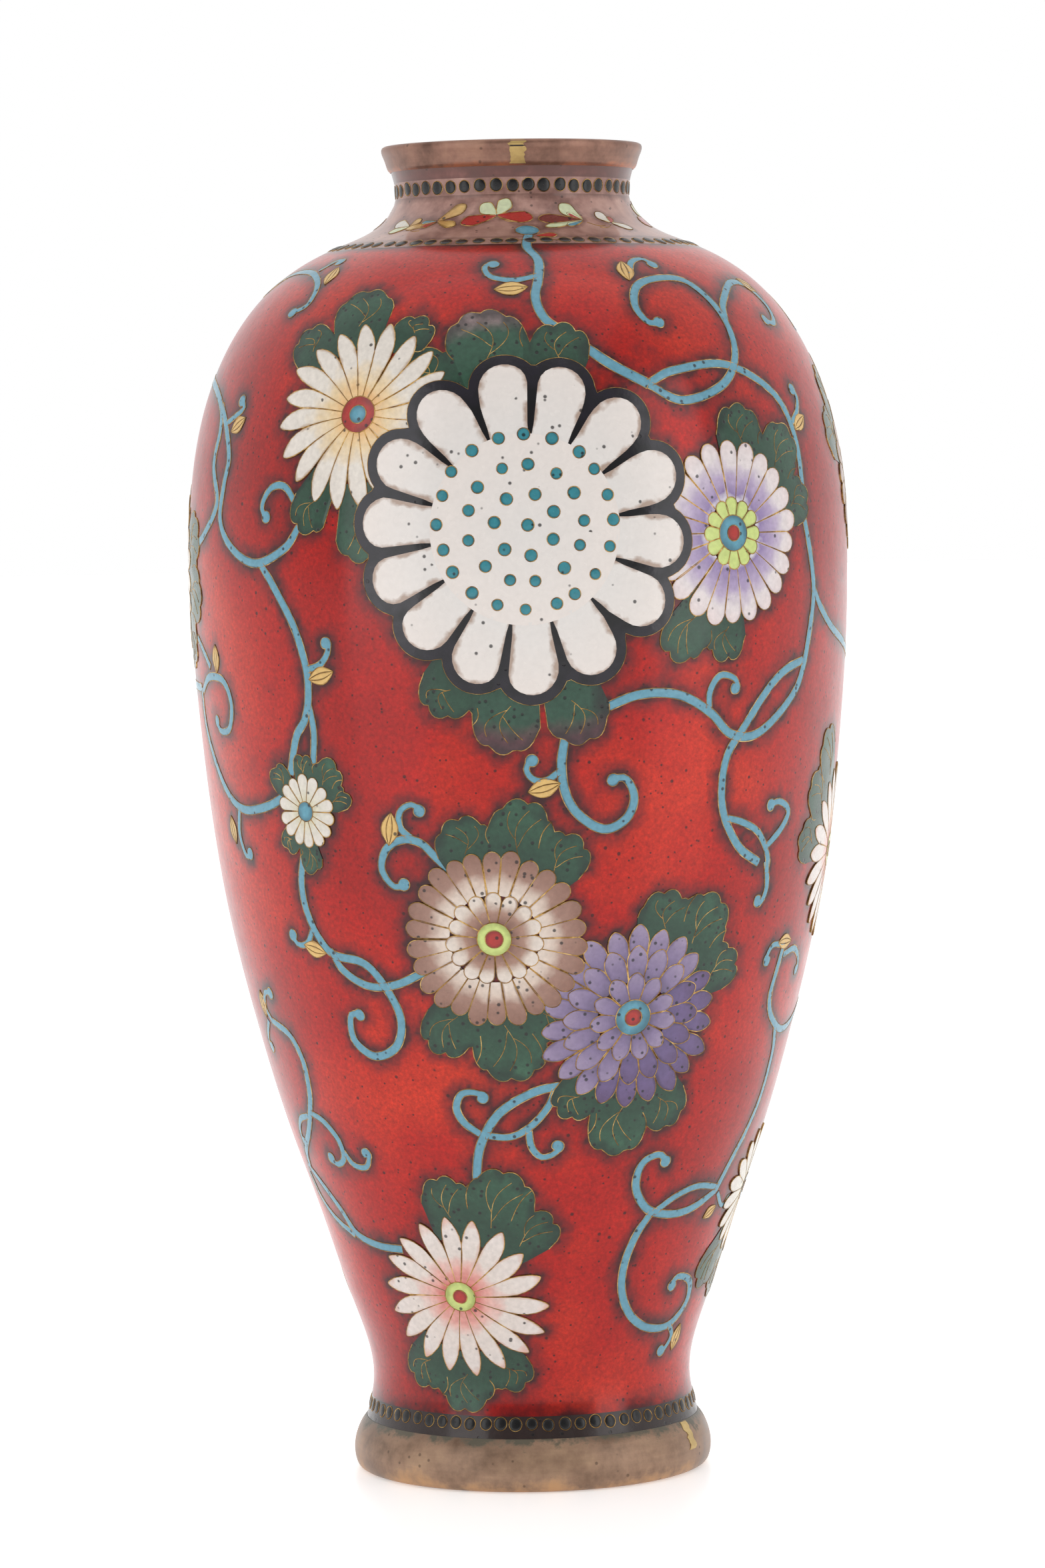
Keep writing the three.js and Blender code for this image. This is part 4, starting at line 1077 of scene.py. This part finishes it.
def bead_row(name, material, low_end=None):
    """A row of black beads, each in its loop of wire, on a coat of its own."""
    z, _, count, radius = BEAD_ROWS[name]
    low, high = edges(name)
    low = low if low_end is None else low_end
    ground = Mesh()
    rows = section(np.linspace(low, high, 5), np.linspace(high, low, 3), 0, -ENAMEL)
    # With the neck brown, the along of 0.55 lays a middle share of painted shade over the row's ground.
    ground.turned(rows, RING_SEGMENTS, along=np.full(len(rows), 0.55))
    ground.finish(f"{name}_ground", [material], "black_enamel", (name,))
    beads, loops = Mesh(), Mesh()
    turn = circle(16)
    steps = np.array([0.05, 0.4, 0.7, 0.9, 1.0])
    rise = 0.14 * np.sqrt(1 - steps**2)
    for k in range(count):
        at = Place(360 * k / count + rng.uniform(-0.4, 0.4), z)
        size = radius * rng.uniform(0.9, 1.04)
        up = rng.uniform(-0.12, 0.12)
        x, y = size * np.cos(turn)[:, None] * steps * 0.94, up + size * np.sin(turn)[:, None] * steps
        azimuth, arc = at(x, y)
        top = on_vase(azimuth, arc, 0.02 + rise)
        base = on_vase(azimuth, arc, SEAT)
        beads.sweep(np.concatenate([top, base[:, ::-1]], 1), True, inside=0.8)
        loops.wire(*at(x[:, -1] * 1.06, up + (y[:, -1] - up) * 1.06), 0.04, loop=True, width=THIN_WIRE)
    beads.finish(f"{name}_beads", [BEAD], "black_enamel")
    loops.finish(f"{name}_loops", [WIRE_METAL], "solder")


def coats():
    foot_high, shoulder_low = edges("foot_bead_row")[1], edges("shoulder_bead_row")[0]
    shoulder_high, neck_low = edges("shoulder_bead_row")[1], edges("neck_bead_row")[0]
    neck_high, lip = edges("neck_bead_row")[1], float(arc_at(RIM_BOTTOM))
    # Painted shade: each ground coat darkens next to its wires and its near edges, by the weights given.
    coat("ground_enamel_coat", RED, "red_enamel", foot_high, shoulder_low, ("ground_enamel",),
         near=((foot_high - 0.9, 0.55), (shoulder_low + 0.1, 1.1)))
    coat("neck_enamel_coat", NECK, "neck_enamel", shoulder_high, neck_low, ("neck_enamel",), step=0.6,
         segments=200, near=((shoulder_high, 1.0), (neck_low, 1.0)))
    # The lip coat's weight 0.45 at the rim spreads its painted shade further down from the rim.
    coat("lip_enamel_coat", SHADED_LIP, "neck_enamel", neck_high, lip, ("lip_enamel",), step=0.5, segments=160,
         near=((neck_high, 1.0), (lip, 0.45)))
    depth = -ENAMEL - SKIN_GAP - COPPER - LINING_GAP
    coat("lining_enamel_coat", COUNTER, "counter_enamel", float(arc_at(FOOT_TOP + 0.5)), lip - 0.5,
         ("lining_enamel",), depth, depth - LINING, step=1.4, segments=120, behind=1)


# ------------------------------------------------------------------ metal


RING_ROWS = 22          # rows of points up the outside of a metal ring


def metal_ring(name, outline_points, inner_points, material, replaces, wobble):
    """A smooth turned band with small dents. Its along value runs from 0 at its top to 1 below."""
    places = np.array(outline_points, float).T
    top, bottom = places[1].max(), places[1].min()
    knots = lengths(*places)
    at = np.linspace(0, knots[-1], RING_ROWS)
    outer = np.stack([spline(knots, values, at) for values in places], 1)
    ring = np.concatenate([outer, inner_points])
    along = (top - ring[:, 1]) / (top - bottom)
    mesh = Mesh()
    mesh.turned(ring, RING_SEGMENTS, along=np.clip(along, 0, 1))
    points = mesh.points[0].reshape(len(ring), RING_SEGMENTS, 3)
    turn = circle(RING_SEGMENTS)
    dents = sum(rng.normal() / k * np.sin(k * turn + rng.uniform(0, 6.28)) for k in range(2, 30))
    dents = dents / np.abs(dents).max() * wobble
    fade = np.zeros(len(ring))
    fade[:RING_ROWS] = np.sin(np.linspace(0, 1, RING_ROWS) * math.pi)
    points[..., :2] *= 1 + (fade[:, None] * dents)[..., None] / FOOT_RADIUS
    mesh.finish(name, [material], "band_metal", replaces)


def patch(name, material, middle, half, low, high, radius, proud, ragged, replaces=()):
    """A thin plate with ragged sides on a ring, between two heights, where radius(z) is the ring's."""
    z = np.linspace(low, high, 12)
    share = np.linspace(-1, 1, 9)
    left, right = (half * (1 + rng.uniform(-ragged, ragged * 0.3, len(z))) for _ in range(2))
    wide = np.where(share < 0, left[:, None], right[:, None]) * share
    turn = (middle + wide) * DEG
    face, back = (around(radius(z)[:, None] + lift, turn, z[:, None]) for lift in (proud, -0.3))
    mesh = Mesh()
    mesh.sweep(np.concatenate([face, back[:, ::-1]], 1), along=0.3, inside=1.0)
    mesh.finish(name, [material], "solder", replaces)


RIM_OUTLINE = [(16.85, 180.45), (17.15, 180.75), (17.42, 181.4), (17.8, 182.5), (18.08, 183.4),
               (17.98, 183.83), (17.7, 184)]
RIM_INSIDE = [(14.7, 184), (14.45, 183.8), (14.45, 183.3), (16.6, 183.3), (16.4, 180.9)]
FOOT_OUTLINE = [(23.7, 0), (24.35, 0.3), (24.85, 1.3), (25.0, 2.6), (24.85, 4.0), (24.4, 5.4), (23.75, 6.6),
                (23.25, 7.2)]
FOOT_INSIDE = [(22.6, 6.9), (22.3, 6.4), (22.25, 0.5), (22.5, 0)]


def metals():
    metal_ring("rim_band_metal", RIM_OUTLINE, RIM_INSIDE, RIM_METAL, ("rim_band",), 0.05)
    metal_ring("foot_ring_metal", FOOT_OUTLINE, FOOT_INSIDE, FOOT_METAL, ("foot_ring",), 0.12)

    def on_outline(points):
        r, z = np.array(points).T
        return lambda height: np.interp(height, z, r)

    rim, foot = on_outline(RIM_OUTLINE), on_outline(FOOT_OUTLINE)
    patch("rim_solder_patch", GILT, 2.4, 4.0, 180.7, 183.92, rim, 0.06, 0.35, ("rim_seam",))
    patch("rim_seam_crack", CRACK, 2.4, 3.4, 182.95, 183.15, rim, 0.09, 0.3)
    patch("foot_solder_patch", GILT, 63, 2.6, 3.4, 7.1, foot, 0.1, 0.5)
    kept = {"copper_core": COPPER_METAL, "base_plate": COPPER_METAL, "base_enamel": COUNTER}
    for name, material in kept.items():
        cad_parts[name].data.materials.clear()
        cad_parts[name].data.materials.append(material)


# ------------------------------------------------------------------ floor, light and camera


FLOOR_RADIUS = 6        # in metres
FLOOR_GLOW = 0.4
WHITE_LIGHT = (1, 1, 1, 1)


def floor():
    n = Nodes("studio_floor", Roughness=0.3, Specular_IOR_Level=0.4, Emission_Color=WHITE_LIGHT,
              Emission_Strength=FLOOR_GLOW)
    color = n.ramp(n.noise(3, 2.0), blend((0.3, (246, 246, 246)), (0.7, (250, 250, 249))))
    material = n.finish(color)
    bpy.ops.mesh.primitive_circle_add(vertices=96, radius=FLOOR_RADIUS, fill_type="NGON",
                                      location=(0, 0, -0.0001))
    ground = bpy.context.object
    ground.name = "studio_floor"
    ground.data.materials.append(material)


# The sky is dim in front of the vase, where the camera is, and bright behind it.
SKY_SPAN = {"From Min": -1.0, "From Max": 0.1, "To Min": 0.2, "To Max": 1.0}
# Softboxes: place and size in metres, and power in watts.
SOFTBOXES = (
    ("left_softbox", (-0.85, -0.8, 0.35), (0.6, 1.1), 3.0),
    ("right_softbox", (0.95, -0.6, 0.3), (0.5, 1.1), 2.6),
    ("top_softbox", (0.0, -0.3, 1.2), (1.2, 1.2), 1.8),
)
LIT_POINT = (0, 0, 0.1)


def lights():
    world = bpy.data.worlds.new("studio")
    bpy.context.scene.world = world
    world.use_nodes = True
    tree = world.node_tree
    sky = tree.nodes["Background"]
    place = tree.nodes.new("ShaderNodeTexCoord")
    apart = tree.nodes.new("ShaderNodeSeparateXYZ")
    tree.links.new(place.outputs["Generated"], apart.inputs[0])
    span = tree.nodes.new("ShaderNodeMapRange")
    for socket, value in SKY_SPAN.items():
        span.inputs[socket].default_value = value
    tree.links.new(apart.outputs["Y"], span.inputs["Value"])
    tree.links.new(span.outputs["Result"], sky.inputs["Strength"])
    sky.inputs["Color"].default_value = WHITE_LIGHT
    for name, place, size, power in SOFTBOXES:
        data = bpy.data.lights.new(name, "AREA")
        data.shape, data.size, data.size_y, data.energy = "RECTANGLE", *size, power
        lamp = bpy.data.objects.new(name, data)
        lamp.location = place
        lamp.rotation_euler = (Vector(LIT_POINT) - Vector(place)).to_track_quat("-Z", "Y").to_euler()
        bpy.context.scene.collection.objects.link(lamp)


EYE = (0.00007, -0.775, 0.1417)     # place of the camera, in metres
PITCH, ROLL = 3.423, -0.953         # how far it looks down and leans, in degrees
LENS, FILM = 127.68, 36             # focal length and height of the film, in mm


def camera():
    """A long lens a little above the middle, looking slightly down."""
    pitch, roll = PITCH * DEG, ROLL * DEG
    ahead = Vector((0, math.cos(pitch), -math.sin(pitch)))
    across, up = Vector((1, 0, 0)), Vector((0, math.sin(pitch), math.cos(pitch)))
    right = math.cos(roll) * across + math.sin(roll) * up
    top = -math.sin(roll) * across + math.cos(roll) * up
    data = bpy.data.cameras.new("camera")
    data.sensor_fit = "VERTICAL"
    data.sensor_height = FILM
    data.lens = LENS
    eye = bpy.data.objects.new("camera", data)
    turned = Matrix((right, top, -ahead)).transposed().to_4x4()
    eye.matrix_world = Matrix.Translation(EYE) @ turned
    bpy.context.scene.collection.objects.link(eye)
    bpy.context.scene.camera = eye
    bpy.context.scene.view_settings.view_transform = "Standard"


camera()
floor()
lights()
make_flowers()
for leaf_name, lobes in LEAVES.items():
    leaf(leaf_name, lobes)
vines()
buds()
neck_butterflies()
bead_row("foot_bead_row", SOOT, low_end=0.0)
bead_row("shoulder_bead_row", NECK)
bead_row("neck_bead_row", NECK)
coats()
metals()
